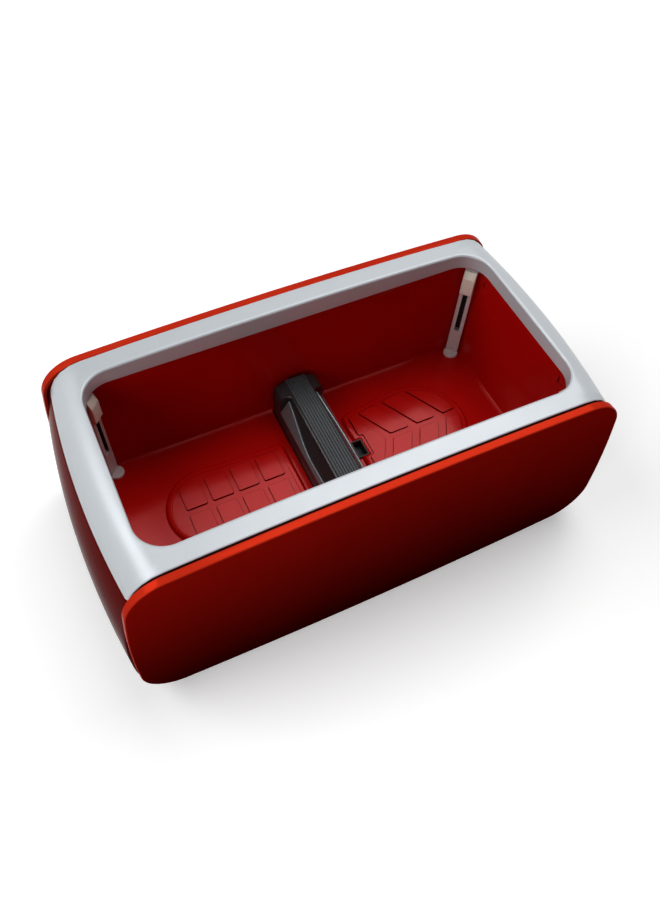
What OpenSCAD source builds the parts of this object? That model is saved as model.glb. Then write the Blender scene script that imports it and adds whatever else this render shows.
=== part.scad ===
// Foot-operated overshoe dispenser: a red moulded box with a silver top frame.
// The foot goes down into the well, the pedal turns two kicker levers, and the
// kickers push the overshoe off the four corner rails.
// Millimetres. Origin on the ground under the middle, +X along the box, -Y the front.

/* [Body] */
// Height from the ground to the crown of the top frame
body_h = 200; // [196:1:215]
// Length over the bulged end panels
body_l = 494; // [485:1:515]
// Wall of the moulded covers
skin = 3; // [2:0.1:3.5]
// Drop of the top frame from its middle to its ends
crown_drop = 4.6; // [3:0.1:6]
// Radius of the rounded shoulder at each end of the top frame
shoulder_r = 32; // [27:1:36]
// Radius of the bulge of the end panels, seen from the front
bulge_r = 320; // [280:5:380]
// Height of the widest point of the bulge
bulge_z = 65; // [58:1:75]
// Radius of the turned-in foot of the end panels
tuck_r = 40; // [30:1:50]
// Radius of the bow of the ends, seen from above
bow_r = 780; // [700:10:1200]
// Distance of the seam between the top frame and the end panels below the crown
seam_drop = 32; // [28:1:40]
// Gap at the seams between the covers
seam_gap = 0.4; // [0.3:0.1:0.8]

/* [Front and back panels] */
// Distance of the panels' ends inside the bulge of the end panels
panel_inset = 11; // [9:0.5:15]
// Width over the two panels at the top
panel_w = 233; // [229:1:240]
// Outward lean of the panels, in degrees
panel_lean = 3.43; // [2.5:0.01:4.5]
// Depth of a panel's rim
panel_rim = 7.8; // [6:0.1:9]
// Distance of the panel's top edge below the crown
panel_drop = 1.5; // [1:0.5:4]
// Height of the panel's lowest edge above the ground
panel_lift = 3.6; // [2:0.1:5]
// Radius of the panel's top corners
panel_top_r = 40; // [32:1:50]
// Radius of the panel's bottom corners
panel_foot_r = 40; // [30:1:50]
// Radius of the panel's bulged sides
panel_side_r = 700; // [500:10:1000]
// Radius of the panel's crowned bottom edge
panel_sole_r = 3000; // [2500:100:6000]

/* [Top frame] */
// Width of the frame's end rails, from the bulge to the opening
end_rail_w = 47; // [44:0.5:50]
// Width of the frame's side rails
side_rail_w = 18.7; // [17:0.1:21]
// Corner radius of the opening
opening_r = 27; // [20:1:32]
// Depth of the skirt that hangs in the opening
skirt_h = 20.5; // [18:0.5:22]
// Wall of the skirt
skirt_t = 2.5; // [2:0.1:3]
// Gap between the frame and the rims of the panels
frame_gap = 1; // [0.6:0.1:1.6]

/* [Foot well] */
// Height of the well's floor above the ground
floor_h = 64; // [60:1:70]
// Draft of the well's end walls, from the flange in to the floor
end_draft = 4; // [3.6:0.1:5]
// Shift of the well's floor towards the heel
floor_shift = 3.5; // [0:0.1:3.5]
// Draft of the well's side walls, from the flange in to the floor
side_draft = 9.5; // [8:0.1:10]
// Distance of the well's walls behind the skirt's inner face, at the top
well_setback = 2.5; // [2.2:0.1:3.5]
// Wall of the well
well_t = 2.5; // [2:0.1:3]
// Thickness of the flange round the well
flange_t = 3; // [2.5:0.1:4]
// Height of the raised footprints above the floor
print_h = 3; // [1:0.1:4]
// Height of the tread blocks above a footprint
block_h = 1.5; // [0.8:0.1:2.5]
// Width of the plain rim round a footprint
print_rim = 6; // [4:0.5:8]
// Gap between the two rows of tread blocks
row_gap = 6; // [4:0.5:9]

/* [Pedal] */
// Gap between the ends of the pedal bar and the well's side walls
pedal_end_gap = 2; // [1.5:0.1:6]
// Width of the pedal bar
pedal_w = 48; // [44:1:52]
// Height of the pedal bar above the floor, without its tread
pedal_rise = 43; // [38:1:48]
// Width of the ribbed tread
tread_w = 21; // [18:0.5:24]
// Length of the full-width part at each end of the bar
pedal_cap_l = 18; // [14:1:22]
// Number of ribs on the tread
rib_count = 8; // [6:1:9]
// Travel of the pedal
pedal_travel = 11; // [8:0.5:12]
// Clearance of the pedal in the floor
pedal_gap = 0.8; // [0.5:0.1:1]

/* [Corner rails] */
// Radius of the round back of a rail
rail_r = 6.6; // [6.2:0.1:6.9]
// Distance of a rail's flat face from its axis
rail_face = 1.9; // [1.6:0.1:2.1]
// Direction that a rail faces, in degrees from the long side
rail_turn = 42; // [38:1:48]
// Width of the slot in a rail's face
slot_w = 5; // [4.4:0.1:5.2]
// Height of a follower
follower_h = 29; // [24:1:31]
// Reach of a follower's nose past the rail's face
nose_reach = 6; // [5:0.5:8]
// Travel of a follower
follower_travel = 42; // [36:1:44]

/* [Release levers] */
// Depth of the lever shafts below the well's floor
pivot_drop = 24; // [22:1:26]
// Radius of the lever shafts
shaft_r = 4; // [3:0.1:4.5]
// Width of a treadle arm
treadle_w = 16; // [12:1:20]
// Thickness of a treadle arm
treadle_t = 6; // [4:0.5:7]

/* [Base] */
// Height of the rubber feet
foot_h = 6; // [5:0.5:7]
// Radius of the rubber feet
foot_r = 10; // [8:1:12]
// Thickness of the base plate
base_t = 4; // [3:0.5:5]
// Height of the base plate's upstands
upstand_h = 20; // [16:1:22]
// Radius of the pillars that carry the well
pillar_r = 6; // [5:0.5:8]
// Radius of the pedal's guide rods
rod_r = 4; // [3:0.1:4.5]

/* [Hidden] */
$fn = 48;

eps = 0.5;          // overshoot of a cut past the face that it opens
run = 0.3;          // clearance between sliding pieces
turn = 0.08;        // radial clearance of a shaft in its bearing
slide = 0.1;        // radial clearance of a guide rod in its bore
seat = 0.05;        // radial clearance of a shaft in its own hub
arc_steps = 12;     // straight steps in a moulded curve
red = "firebrick";
silver = "gainsboro";
black = "dimgray";
steel = "lightsteelblue";

// Screws: one size for the whole box
screw_r = 1.5;
screw_head_r = 3;
screw_head_h = 2.2;
screw_hole_r = screw_r + 0.2;
screw_bore_r = screw_r + 0.1;
screw_l = 7;
bore_spare = 2;     // depth of a screw's bore past its point

// Curves of the covers, seen from the front
seam_z = body_h - seam_drop;
bulge_x = body_l / 2 - bulge_r;
shoulder_z = body_h - crown_drop - shoulder_r;
shoulder_x = bulge_x + sqrt(pow(bulge_r - shoulder_r, 2) - pow(shoulder_z - bulge_z, 2));
shoulder_start = atan2(shoulder_z - bulge_z, shoulder_x - bulge_x);
shoulder_end = 87;
tuck_end = -52;     // angle at which the turned-in foot stops, above the base plate
tuck_lift = 1;      // height of the turned-in foot above the base plate's underside
tuck_z = foot_h + tuck_lift + tuck_r;
tuck_x = bulge_x + sqrt(pow(bulge_r - tuck_r, 2) - pow(tuck_z - bulge_z, 2));
tuck_start = atan2(tuck_z - bulge_z, tuck_x - bulge_x);
crown_r = (pow(shoulder_x, 2) + pow(crown_drop, 2)) / (2 * crown_drop);
bow_x = body_l / 2 - bow_r;

// Widths, measured from the middle plane
panel_l = body_l - 2 * panel_inset;
panel_rim_y = panel_w / 2 - panel_rim / cos(panel_lean);
frame_y = panel_rim_y - frame_gap;
opening_l = body_l - 2 * end_rail_w;
opening_w = 2 * (frame_y - side_rail_w);
skirt_z = body_h - skirt_h;

// Levels of the well and the base
floor_z = floor_h;
flange_z = skirt_z - seam_gap;
well_top_l = opening_l + 2 * well_setback;
well_top_w = opening_w + 2 * well_setback;
well_floor_l = well_top_l - 2 * end_draft;
well_floor_w = well_top_w - 2 * side_draft;
floor_low = floor_z - well_t;
base_z = foot_h + base_t;
flange_gap = 0.2;                   // gap between the flange and the frame's side wall
flange_y = frame_y - skin - flange_gap;
flange_reach = 7;                   // reach of the flange past the well's end walls
flange_r = 8;
lip_rise = 2;                       // lower edge of the frame's side walls above the flange
lip_z = flange_z + lip_rise;

// Rails stand in the corners of the well's floor and lean out with its walls
well_h = flange_z - floor_z;
rail_end_gap = 0.5;                 // gap to the end wall at the floor
rail_side_gap = 1;                  // gap to the side wall at the floor
rail_x = well_floor_l / 2 - rail_end_gap - rail_r - rail_face * cos(rail_turn);
rail_y = well_floor_w / 2 - rail_side_gap - rail_r - rail_face * sin(rail_turn);
rail_drop = 3;                      // distance of a rail's top below the flange, along the rail
rail_top = flange_z - rail_drop;
rail_sink = 2;                      // part of a leaning rail that is cut off level with the floor
rail_axis_y = rail_y + rail_face * sin(rail_turn);
rail_half = sqrt(pow(rail_r, 2) - pow(rail_face, 2));
rail_cap_t = 1.4;
lip_t = 1.6;                        // thickness of the rail's lips beside the slot
bay_side = 0.9;                     // part of the space behind the lips that a lip hides
bay_w = slot_w + 2 * bay_side;
bay_d = 4.4;                        // depth of the space behind the lips
follower_top = rail_top - 2 * run;
follower_low = follower_top - follower_h;
nose_slope = 2.5;                   // height of the slopes above and below a nose
nose_edge = 3.5;                    // depth of a nose at its top and bottom edges

// Levers
hub_wall = 4;
lever_hub_r = shaft_r + hub_wall;
pivot_z = floor_z - pivot_drop;
kick_room = 8.5;                    // room between the well's end wall and a kicker arm
kick_lap = 2.5;                     // part of a kicker arm that lies in its hub
kick_t = 4;
kick_w = 8;
kick_x = well_top_l / 2 + well_t + kick_room;
pivot_x = kick_x - lever_hub_r + kick_lap;
flange_x = kick_x - kick_room + flange_reach;
kick_drop = 9;                      // height of the fingers below the flange
kick_z = flange_z - flange_t - kick_drop;
kick_aside = 9.5;                   // distance of a kicker arm from the foot of its rail
kick_y = rail_axis_y - kick_aside;
kick_clear = 0.2;                   // distance of a finger's tip behind the well's end wall
kick_tip_x = well_l(kick_z) / 2 + well_shift(kick_z) + kick_clear;
finger_w = 6;
finger_h = 6;
window_gap = 0.8;                   // gap round a finger in its window
arm_drop = 6;                       // treadle arms lie below the shaft's axis
arm_top = pivot_z - arm_drop;
pad_x = 10;                         // distance of the push pads from the middle
bracket_t = 6;
bracket_room = 13.7;                // room between a kicker arm's hub and a bracket
bracket_y = kick_y + kick_w / 2 + bracket_room;
shaft_end = 3;                      // part of a shaft that stands out of its brackets
shaft_half = bracket_y + bracket_t + shaft_end;

// Base plate reaches past the lever brackets, and sideways to the panels
bracket_gap = 3;
upstand_t = 3;
base_x = pivot_x + lever_hub_r + bracket_gap + upstand_t;
panel_gap = 1.8;                    // gap between the base plate and a panel's rim
base_y = panel_y(base_z) - panel_rim / cos(panel_lean) - panel_gap;
base_r = 12;
upstand_room = 5;                   // room between an end upstand and the brackets
upstand_end = bracket_y - upstand_room;
upstand_inset = 32;                 // distance of a side upstand from the plate's ends
upstand_side = base_x - upstand_inset;
side_screw_x = 120;
end_screw_y = 60;
cover_screw_z = base_z + upstand_h / 2;
pad_h = 12;
pad_w = 14;
foot_inset_x = 22;                  // distance of a rubber foot from the plate's end
foot_inset_y = 18;
foot_x = base_x - foot_r - foot_inset_x;
foot_y = base_y - foot_r - foot_inset_y;
pillar_x = 150;
pillar_y = 60;
rod_y = 50;

// Pedal
pedal_top = floor_z + pedal_rise;
pedal_tail = 11.5;                  // part of the bar below the floor
pedal_low = floor_low - pedal_tail;
flank_h = 23;                       // height of the sloped flanks
flank_z = pedal_top - flank_h;
bore_roof = 11;                     // material above the guide bores
bore_top = pedal_top - bore_roof;
rod_room = 5;                       // room above a guide rod when the pedal is down
rod_top = bore_top - pedal_travel - rod_room;
flank = atan2(flank_h, pedal_w / 2 - tread_w / 2);
flank_l = flank_h / sin(flank);
pedal_wall = 3;
stop_t = 6;
stop_w = 5.5;
stop_inset = 10;
boss_wall = 4.2;
pedal_l = well_floor_w - 2 * pedal_end_gap;
stop_half = pedal_l / 2 - stop_inset;
boss_r = rod_r + boss_wall;
tread_inset = 0.5;
inlay_inset = 2;                    // distance of an inlay from the pedal's full-width ends
inlay_foot = 1.5;                   // distance of an inlay from the flank's lower edge
inlay_tip = 2;                      // width of an inlay's drawn-out end
inlay_head = 10;                    // distance of an inlay's wide end from the tread
inlay_t = 1.2;
tread_t = 1;
rib_h = 1.2;
rib_w = 1.5;
pocket_gap = 1.5;                   // gap between the pedal's stop rim and the pocket
pocket_x = pedal_w / 2 + stop_w + pocket_gap;
pocket_l = 12;
pocket_w = 20;
pocket_d = 12;
pocket_t = 1.2;
pocket_sink = 0.6;                  // distance of the pocket's edge below the print

// Springs
pedal_spring_wire = 0.8;
spring_room = 2.6;                  // distance of the spring's wire from a guide rod
pedal_spring_r = rod_r + spring_room;
pedal_spring_turns = 7;
rail_spring_wire = 0.3;
rail_spring_r = 1.5;
rail_spring_turns = 12;
spring_spare = 1.8;                 // spare length of a shut spring
rail_spring_shut = 2 * rail_spring_wire * rail_spring_turns + spring_spare;
slot_z = follower_low - follower_travel - rail_spring_shut;
rings = 8;                          // rings in one turn of a spring
sides = 6;                          // sides of the spring wire

// Frame bosses between the skirt and the frame's side wall
boss_y = (opening_w / 2 + skirt_t + frame_y - skin) / 2;
frame_boss_r = 4;
frame_boss_x = [-120, 0, 120];
clip_x = 160;
clip_h = 7;

// Length and width of the well's inside at a height, and its shift towards the heel there
function well_l(z) = well_floor_l + (well_top_l - well_floor_l) * (z - floor_z) / well_h;
function well_w(z) = well_floor_w + (well_top_w - well_floor_w) * (z - floor_z) / well_h;
function well_shift(z) = floor_shift * (flange_z - z) / well_h;

// Outer face of a panel at a height, measured from the middle plane
function panel_y(z) = panel_w / 2 + tan(panel_lean) * (body_h - z);

// Points on an arc from angle a to angle b, both included
function arc(x, y, r, a, b, steps = arc_steps) =
    [for (i = [0 : steps]) let (t = a + (b - a) * i / steps) [x + r * cos(t), y + r * sin(t)]];

// Outline mirrored about the Y axis, from points that run down the right-hand side
function both_sides(right) =
    concat(right, [for (i = [len(right) - 1 : -1 : 0]) [-right[i][0], right[i][1]]]);

// Rectangle with round corners
function round_rect(l, w, r) = concat(
    arc(l / 2 - r, w / 2 - r, r, 0, 90), arc(r - l / 2, w / 2 - r, r, 90, 180),
    arc(r - l / 2, r - w / 2, r, 180, 270), arc(l / 2 - r, r - w / 2, r, 270, 360));

// Drop of the crown at a distance from the middle
function crown(x) = crown_r - sqrt(pow(crown_r, 2) - pow(x, 2));

// Bulged end of the covers between two heights, moved in by t
function bulge(t, low, high) =
    arc(bulge_x, bulge_z, bulge_r - t, asin((low - bulge_z) / (bulge_r - t)),
        asin((high - bulge_z) / (bulge_r - t)), 2 * arc_steps);

// Bulged end from its turned-in foot up to a height, moved in by t
function tucked(t, high) = concat(arc(tuck_x, tuck_z, tuck_r - t, tuck_end, tuck_start),
    bulge(t, tuck_z + (tuck_r - t) * sin(tuck_start) + 1, high));

// Solid below the crown, moved in by t
module crown_block(t, half_w, low) {
    x = body_l / 2;
    rotate([90, 0, 0]) translate([0, 0, -half_w]) linear_extrude(2 * half_w)
        polygon(concat([[x, low], [-x, low]],
            [for (i = [-arc_steps : arc_steps]) let (at = x * i / arc_steps)
                [at, body_h - t - crown(at)]]));
}

// Solid of revolution about the bow axis, from points on its right-hand side
module bowed(points) {
    reach = 15;
    translate([bow_x, 0, 0]) rotate([0, 0, -reach]) rotate_extrude(angle = 2 * reach, $fn = 96)
        polygon([for (p = points) [p[0] - bow_x, p[1]]]);
}

// Everything on the inner side of the frame's right-hand end, moved in by t
module frame_end(t, low) {
    r = shoulder_r - t;
    tip = [shoulder_x + r * cos(shoulder_end), shoulder_z + r * sin(shoulder_end) - 0.15];
    rise = body_h + 5 - tip[1];
    far = -body_l / 2 + 8;
    turn_z = shoulder_z + r * sin(shoulder_start);
    bowed(concat([[far, low]], bulge(t, low, turn_z),
        arc(shoulder_x, shoulder_z, r, shoulder_start, shoulder_end), [tip],
        [[tip[0] - rise, tip[1] + rise], [far, tip[1] + rise]]));
}

module frame_block(t, half_w, low) {
    intersection() {
        crown_block(t, half_w, low);
        frame_end(t, low);
        mirror([1, 0, 0]) frame_end(t, low);
    }
}

// Tapered block with flat sides, its size given by two functions of height
module well_block(grow, low, high) {
    reach = body_l;
    l0 = well_l(low) / 2 + grow;
    l1 = well_l(high) / 2 + grow;
    w0 = well_w(low) / 2 + grow;
    w1 = well_w(high) / 2 + grow;
    x0 = -well_shift(low);
    x1 = -well_shift(high);
    intersection() {
        rotate([90, 0, 0]) linear_extrude(reach, center = true)
            polygon([[x0 - l0, low], [x0 + l0, low], [x1 + l1, high], [x1 - l1, high]]);
        rotate([90, 0, 90]) linear_extrude(reach, center = true)
            polygon([[-w0, low], [w0, low], [w1, high], [-w1, high]]);
    }
}

module block(low, high) {
    translate(low) cube(high - low);
}

// Screw along +Z, its head's seat at the origin
module screw(l = screw_l) {
    cylinder(r = screw_r, h = l);
    translate([0, 0, -screw_head_h]) cylinder(r = screw_head_r, h = screw_head_h);
}

module four_corners(x, y) {
    for (sx = [-1, 1], sy = [-1, 1]) translate([sx * x, sy * y, 0]) children();
}

// Puts a piece into corner sx, sy of the floor, upright or leaning out with the well's walls
module corner(sx, sy, leans = true) {
    lean = [(end_draft + sx * floor_shift) / well_h, side_draft / well_h];
    translate([-floor_shift, 0, 0]) mirror([sx < 0 ? 1 : 0, 0, 0]) mirror([0, sy < 0 ? 1 : 0, 0])
        translate([rail_x, rail_y, floor_z]) rotate(leans ? atan(norm(lean)) : 0, [-lean[1], lean[0], 0])
            translate([0, 0, -floor_z]) rotate([0, 0, 180 + rail_turn]) children();
}

module all_corners(leans = true) {
    for (sx = [-1, 1], sy = [-1, 1]) corner(sx, sy, leans) children();
}

module upstand(size) {
    translate([-size[0] / 2, -size[1] / 2, -eps]) cube([size[0], size[1], upstand_h + eps]);
}

// Base plate: flat moulded pan with upstands that the covers are screwed to
module base_plate() {
    color(black) difference() {
        union() {
            translate([0, 0, foot_h]) linear_extrude(base_t)
                polygon(round_rect(2 * base_x, 2 * base_y, base_r));
            for (s = [-1, 1]) {
                translate([0, s * (base_y - upstand_t / 2), base_z])
                    upstand([2 * upstand_side, upstand_t]);
                translate([s * (base_x - upstand_t / 2), 0, base_z])
                    upstand([upstand_t, 2 * upstand_end]);
            }
        }
        four_corners(pillar_x, pillar_y) translate([0, 0, foot_h - eps])
            cylinder(r = screw_hole_r, h = base_t + 2 * eps);
        for (s = [-1, 1]) translate([0, s * rod_y, foot_h - eps])
            cylinder(r = screw_hole_r, h = base_t + 2 * eps);
        cover_screw_places() translate([0, 0, -eps]) cylinder(r = screw_hole_r, h = upstand_t + 2 * eps);
    }
}

// Cover screws start on the inner face of the upstands and point outwards
module cover_screw_places() {
    for (sx = [-1, 1], sy = [-1, 1]) {
        translate([sx * side_screw_x, sy * (base_y - upstand_t), cover_screw_z])
            rotate([-sy * 90, 0, 0]) children();
        translate([sx * (base_x - upstand_t), sy * end_screw_y, cover_screw_z])
            rotate([0, sx * 90, 0]) children();
    }
}

module panel_screws() {
    color(steel) cover_screw_places() screw();
}

module rubber_feet() {
    color("darkslategray") four_corners(foot_x, foot_y) cylinder(r = foot_r, h = foot_h);
}

// Screws up through the base plate into the pillars and the guide rods
module base_screws() {
    color(steel) {
        four_corners(pillar_x, pillar_y) translate([0, 0, foot_h]) screw(base_t + screw_l);
        for (s = [-1, 1]) translate([0, s * rod_y, foot_h]) screw(base_t + screw_l);
    }
}

module well_pillars() {
    color(black) four_corners(pillar_x, pillar_y) difference() {
        translate([0, 0, base_z]) cylinder(r = pillar_r, h = floor_low - base_z);
        translate([0, 0, base_z - eps]) cylinder(r = screw_bore_r, h = screw_l + bore_spare);
    }
}

// Heel print at the left: straight sides and a round end
heel_x = 122;
heel_r = 42;
heel_start = 33;
heel_taper = 5;                     // narrowing of the print from its round end to the pedal
heel_sweep = 88;                    // half the angle of the round end, in degrees
function heel_outline(inset) =
    let (x = -heel_start - inset, y = heel_r - heel_taper - inset)
    concat([[x, -y], [x, y]],
        arc(-heel_x, 0, heel_r - inset, 180 - heel_sweep, 180 + heel_sweep, 2 * arc_steps));

// Sole print at the right: sides that widen to a round toe
toe_x = 105;
toe_r = 50.5;
toe_start = 36;
toe_taper = 8.5;
toe_sweep = 95;
function toe_outline(inset) =
    let (x = toe_start + inset, y = toe_r - toe_taper - inset)
    concat([[x, y], [x, -y]],
        arc(toe_x, 0, toe_r - inset, -toe_sweep, toe_sweep, 2 * arc_steps));

heel_blocks = 4;
heel_pitch = 26.7;
heel_block_l = 21.5;
heel_block_w = 28;
heel_block_x = 43.8;
toe_blocks = 4;
toe_pitch = 31;
toe_block_l = 22;
toe_block_x = 42.5;
toe_slant = 0.56;                   // sideways shift of a toe block per unit of width
block_room = 60;
pocket_rim = 3;                     // plain rim round the pocket

// Blocks of the heel print: a grid of two rows, cut by the print's rim
module heel_pattern() {
    intersection() {
        polygon(heel_outline(print_rim));
        for (s = [-1, 1], i = [0 : heel_blocks - 1]) {
            right = -heel_block_x - i * heel_pitch;
            left = right - heel_block_l;
            near = s * row_gap / 2;
            far = near + s * heel_block_w;
            polygon([[right, near], [left, near], [left, far], [right, far]]);
        }
    }
}

// Blocks of the sole print: slanted rows that meet in a point towards the toe
module toe_pattern() {
    difference() {
        intersection() {
            polygon(toe_outline(print_rim));
            for (s = [-1, 1], i = [0 : toe_blocks - 1]) {
                x = toe_block_x + i * toe_pitch;
                polygon([[x, s * row_gap / 2], [x + toe_block_l, s * row_gap / 2],
                    [x + toe_block_l - toe_slant * block_room, s * (row_gap / 2 + block_room)],
                    [x - toe_slant * block_room, s * (row_gap / 2 + block_room)]]);
            }
        }
        translate([pocket_x - pocket_rim, -pocket_w / 2 - pocket_rim])
            square([pocket_l + 2 * pocket_rim, pocket_w + 2 * pocket_rim]);
    }
}

// Foot tray: the red well with its flange, the raised prints and the pedal's opening
module foot_tray() {
    cut_top = floor_z + print_h + block_h + eps;
    color(red) difference() {
        union() {
            difference() {
                union() {
                    well_block(well_t, floor_low, flange_z);
                    translate([0, 0, flange_z - flange_t]) linear_extrude(flange_t)
                        polygon(round_rect(2 * flange_x, 2 * flange_y, flange_r));
                }
                well_block(0, floor_z, flange_z + eps);
            }
            translate([0, 0, floor_z - eps]) {
                linear_extrude(print_h + eps) {
                    polygon(heel_outline(0));
                    polygon(toe_outline(0));
                }
                linear_extrude(print_h + block_h + eps) {
                    heel_pattern();
                    toe_pattern();
                }
            }
        }
        block([-pedal_w / 2 - pedal_gap, -pedal_l / 2 - pedal_gap, floor_low - eps],
            [pedal_w / 2 + pedal_gap, pedal_l / 2 + pedal_gap, cut_top]);
        block([pocket_x, -pocket_w / 2, floor_low - eps],
            [pocket_x + pocket_l, pocket_w / 2, cut_top]);
        for (sx = [-1, 1], sy = [-1, 1])
            translate([sx * well_l(kick_z) / 2 - well_shift(kick_z), sy * kick_y, kick_z])
                cube([6 * well_t, finger_w + 2 * window_gap, finger_h + 2 * window_gap], center = true);
        for (x = frame_boss_x, s = [-1, 1])
            translate([x, s * boss_y, flange_z - flange_t - eps])
                cylinder(r = screw_hole_r, h = flange_t + 2 * eps);
        all_corners(false) translate([-rail_face, 0, floor_low - eps])
            cylinder(r = screw_hole_r, h = well_t + 2 * eps);
    }
}

// Black cup under the square hole beside the pedal
module pocket_cup() {
    top = floor_z + print_h;
    color(black) difference() {
        block([pocket_x + seat, -pocket_w / 2 + seat, top - pocket_d],
            [pocket_x + pocket_l - seat, pocket_w / 2 - seat, top - pocket_sink]);
        block([pocket_x + pocket_t, -pocket_w / 2 + pocket_t, top - pocket_d + pocket_t],
            [pocket_x + pocket_l - pocket_t, pocket_w / 2 - pocket_t, top + eps]);
    }
}

module guide_rods() {
    color(steel) for (s = [-1, 1]) translate([0, s * rod_y, base_z]) difference() {
        cylinder(r = rod_r, h = rod_top - base_z);
        translate([0, 0, -eps]) cylinder(r = screw_bore_r, h = screw_l + bore_spare);
    }
}

// Coil spring: one unbroken tube that follows a helix from height low to height high
function helix(i, r, turns, low, high) =
    let (a = 360 * i / rings) [r * cos(a), r * sin(a), low + (high - low) * i / (rings * turns)];

module coil(r, wire, turns, low, high) {
    count = rings * turns;
    z0 = low + wire;
    z1 = high - wire;
    tilt = atan2(z1 - z0, 2 * PI * r * turns);
    points = [for (i = [0 : count], k = [0 : sides - 1])
        let (c = helix(i, r, turns, z0, z1), a = 360 * i / rings, b = 360 * k / sides)
        c + wire * (cos(b) * [cos(a), sin(a), 0]
            + sin(b) * [sin(a) * sin(tilt), -cos(a) * sin(tilt), cos(tilt)])];
    walls = [for (i = [0 : count - 1], k = [0 : sides - 1])
        let (p = i * sides + k, q = i * sides + (k + 1) % sides)
        each [[p, p + sides, q], [q, p + sides, q + sides]]];
    ends = [for (k = [1 : sides - 2]) each [[0, k, k + 1],
        [count * sides, count * sides + k + 1, count * sides + k]]];
    polyhedron(points, concat(walls, ends));
}

// Least gap between one turn of a coil and the next, measured on its points
function coil_gap(r, wire, turns, low, high) = min([for (i = [0 : rings * (turns - 1)])
    norm(helix(i + rings, r, turns, low, high) - helix(i, r, turns, low, high)) - 2 * wire]);

module pedal_springs() {
    low = base_z;
    high = pedal_low;
    echo(str("pedal spring gap ",
        coil_gap(pedal_spring_r, pedal_spring_wire, pedal_spring_turns, low, high)));
    color(steel) for (s = [-1, 1]) translate([0, s * rod_y, 0])
        coil(pedal_spring_r, pedal_spring_wire, pedal_spring_turns, low, high);
}

// Half section of the pedal bar between its ends: a flank runs down from the tread
function bar_section(t) = both_sides([[tread_w / 2 - t / 2, pedal_top - t],
    [pedal_w / 2 - t, flank_z - t], [pedal_w / 2 - t, pedal_low - (t > 0 ? eps : 0)]]);

// Half section of a pedal's end: full width, with a crown that an arc turns down
cap_drop = 2;                       // drop of the crown from the tread to the turn
cap_r = 9;                          // radius of the turn
function cap_section() = both_sides(concat([[tread_w / 2, pedal_top]],
    arc(pedal_w / 2 - cap_r, pedal_top - cap_drop - cap_r, cap_r, 80, 0, 6), [[pedal_w / 2, pedal_low]]));

module along_y(half, points) {
    rotate([90, 0, 0]) linear_extrude(2 * half, center = true) polygon(points);
}

// Pedal body: hollow black bar with a stop rim under the floor and two push pads
module pedal_body() {
    bridge = 6;
    pad_r = 3;
    pad_z = arm_top + run + pad_r;
    color(black) difference() {
        union() {
            difference() {
                union() {
                    along_y(pedal_l / 2, bar_section(0));
                    for (s = [-1, 1]) translate([0, s * (pedal_l - pedal_cap_l) / 2, 0])
                        along_y(pedal_cap_l / 2, cap_section());
                    block([-pedal_w / 2 - stop_w, -stop_half, floor_low - run - stop_t],
                        [pedal_w / 2 + stop_w, stop_half, floor_low - run]);
                }
                along_y(pedal_l / 2 - pedal_wall, bar_section(pedal_wall));
            }
            for (s = [-1, 1]) translate([0, s * rod_y, pedal_low])
                cylinder(r = boss_r, h = pedal_top - 2 - pedal_low);
            block([-pedal_w / 2 + 1, -treadle_w / 2, pedal_low],
                [pedal_w / 2 - 1, treadle_w / 2, pedal_low + bridge]);
            for (s = [-1, 1]) translate([s * pad_x, 0, 0]) {
                block([-pad_r, -treadle_w / 2, pad_z], [pad_r, treadle_w / 2, pedal_low + bridge / 2]);
                translate([0, 0, pad_z]) rotate([90, 0, 0])
                    cylinder(r = pad_r, h = treadle_w, center = true);
            }
        }
        for (s = [-1, 1]) translate([0, s * rod_y, pedal_low - eps])
            cylinder(r = rod_r + slide, h = bore_top - pedal_low + eps);
    }
}

// Tread: a strip with lengthwise ribs on top of the pedal
module pedal_tread() {
    pitch = (tread_w - rib_w) / (rib_count - 1);
    half = pedal_l / 2 - tread_inset;
    color("gray") union() {
        block([-tread_w / 2, -half, pedal_top], [tread_w / 2, half, pedal_top + tread_t]);
        for (i = [0 : rib_count - 1]) {
            x = -tread_w / 2 + i * pitch;
            block([x, -half, pedal_top + tread_t - 0.2], [x + rib_w, half, pedal_top + tread_t + rib_h]);
        }
    }
}

// Inlay blade on a flank of the pedal: wide at the back, drawn out to the front
module pedal_inlay() {
    half = pedal_l / 2 - pedal_cap_l - inlay_inset;
    foot = flank_l - inlay_foot;
    tip = foot - inlay_tip;
    color("lightslategray") translate([tread_w / 2, 0, pedal_top]) rotate([0, flank, 0])
        linear_extrude(inlay_t) polygon(concat([[foot, half], [foot, -half]],
            [for (i = [0 : arc_steps]) let (t = i / arc_steps)
                [tip - (tip - inlay_head) * pow(t, 1.6), -half + 2 * half * t]]));
}

module pedal_inlay_right() {
    pedal_inlay();
}

module pedal_inlay_left() {
    mirror([1, 0, 0]) pedal_inlay();
}

// Brackets that carry the lever shafts, one at each end of a shaft
module shaft_brackets() {
    w = 2 * lever_hub_r;
    color(black) for (sx = [-1, 1], sy = [-1, 1])
        translate([sx * pivot_x, sy * (bracket_y + bracket_t / 2), 0]) difference() {
            block([-w / 2, -bracket_t / 2, base_z], [w / 2, bracket_t / 2, pivot_z + lever_hub_r]);
            translate([0, 0, pivot_z]) rotate([90, 0, 0])
                cylinder(r = shaft_r + turn, h = bracket_t + 2 * eps, center = true);
        }
}

module lever_shaft() {
    color(steel) translate([pivot_x, 0, pivot_z]) rotate([90, 0, 0])
        cylinder(r = shaft_r, h = 2 * shaft_half, center = true);
}

module right_lever_shaft() {
    lever_shaft();
}

module left_lever_shaft() {
    mirror([1, 0, 0]) lever_shaft();
}

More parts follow.
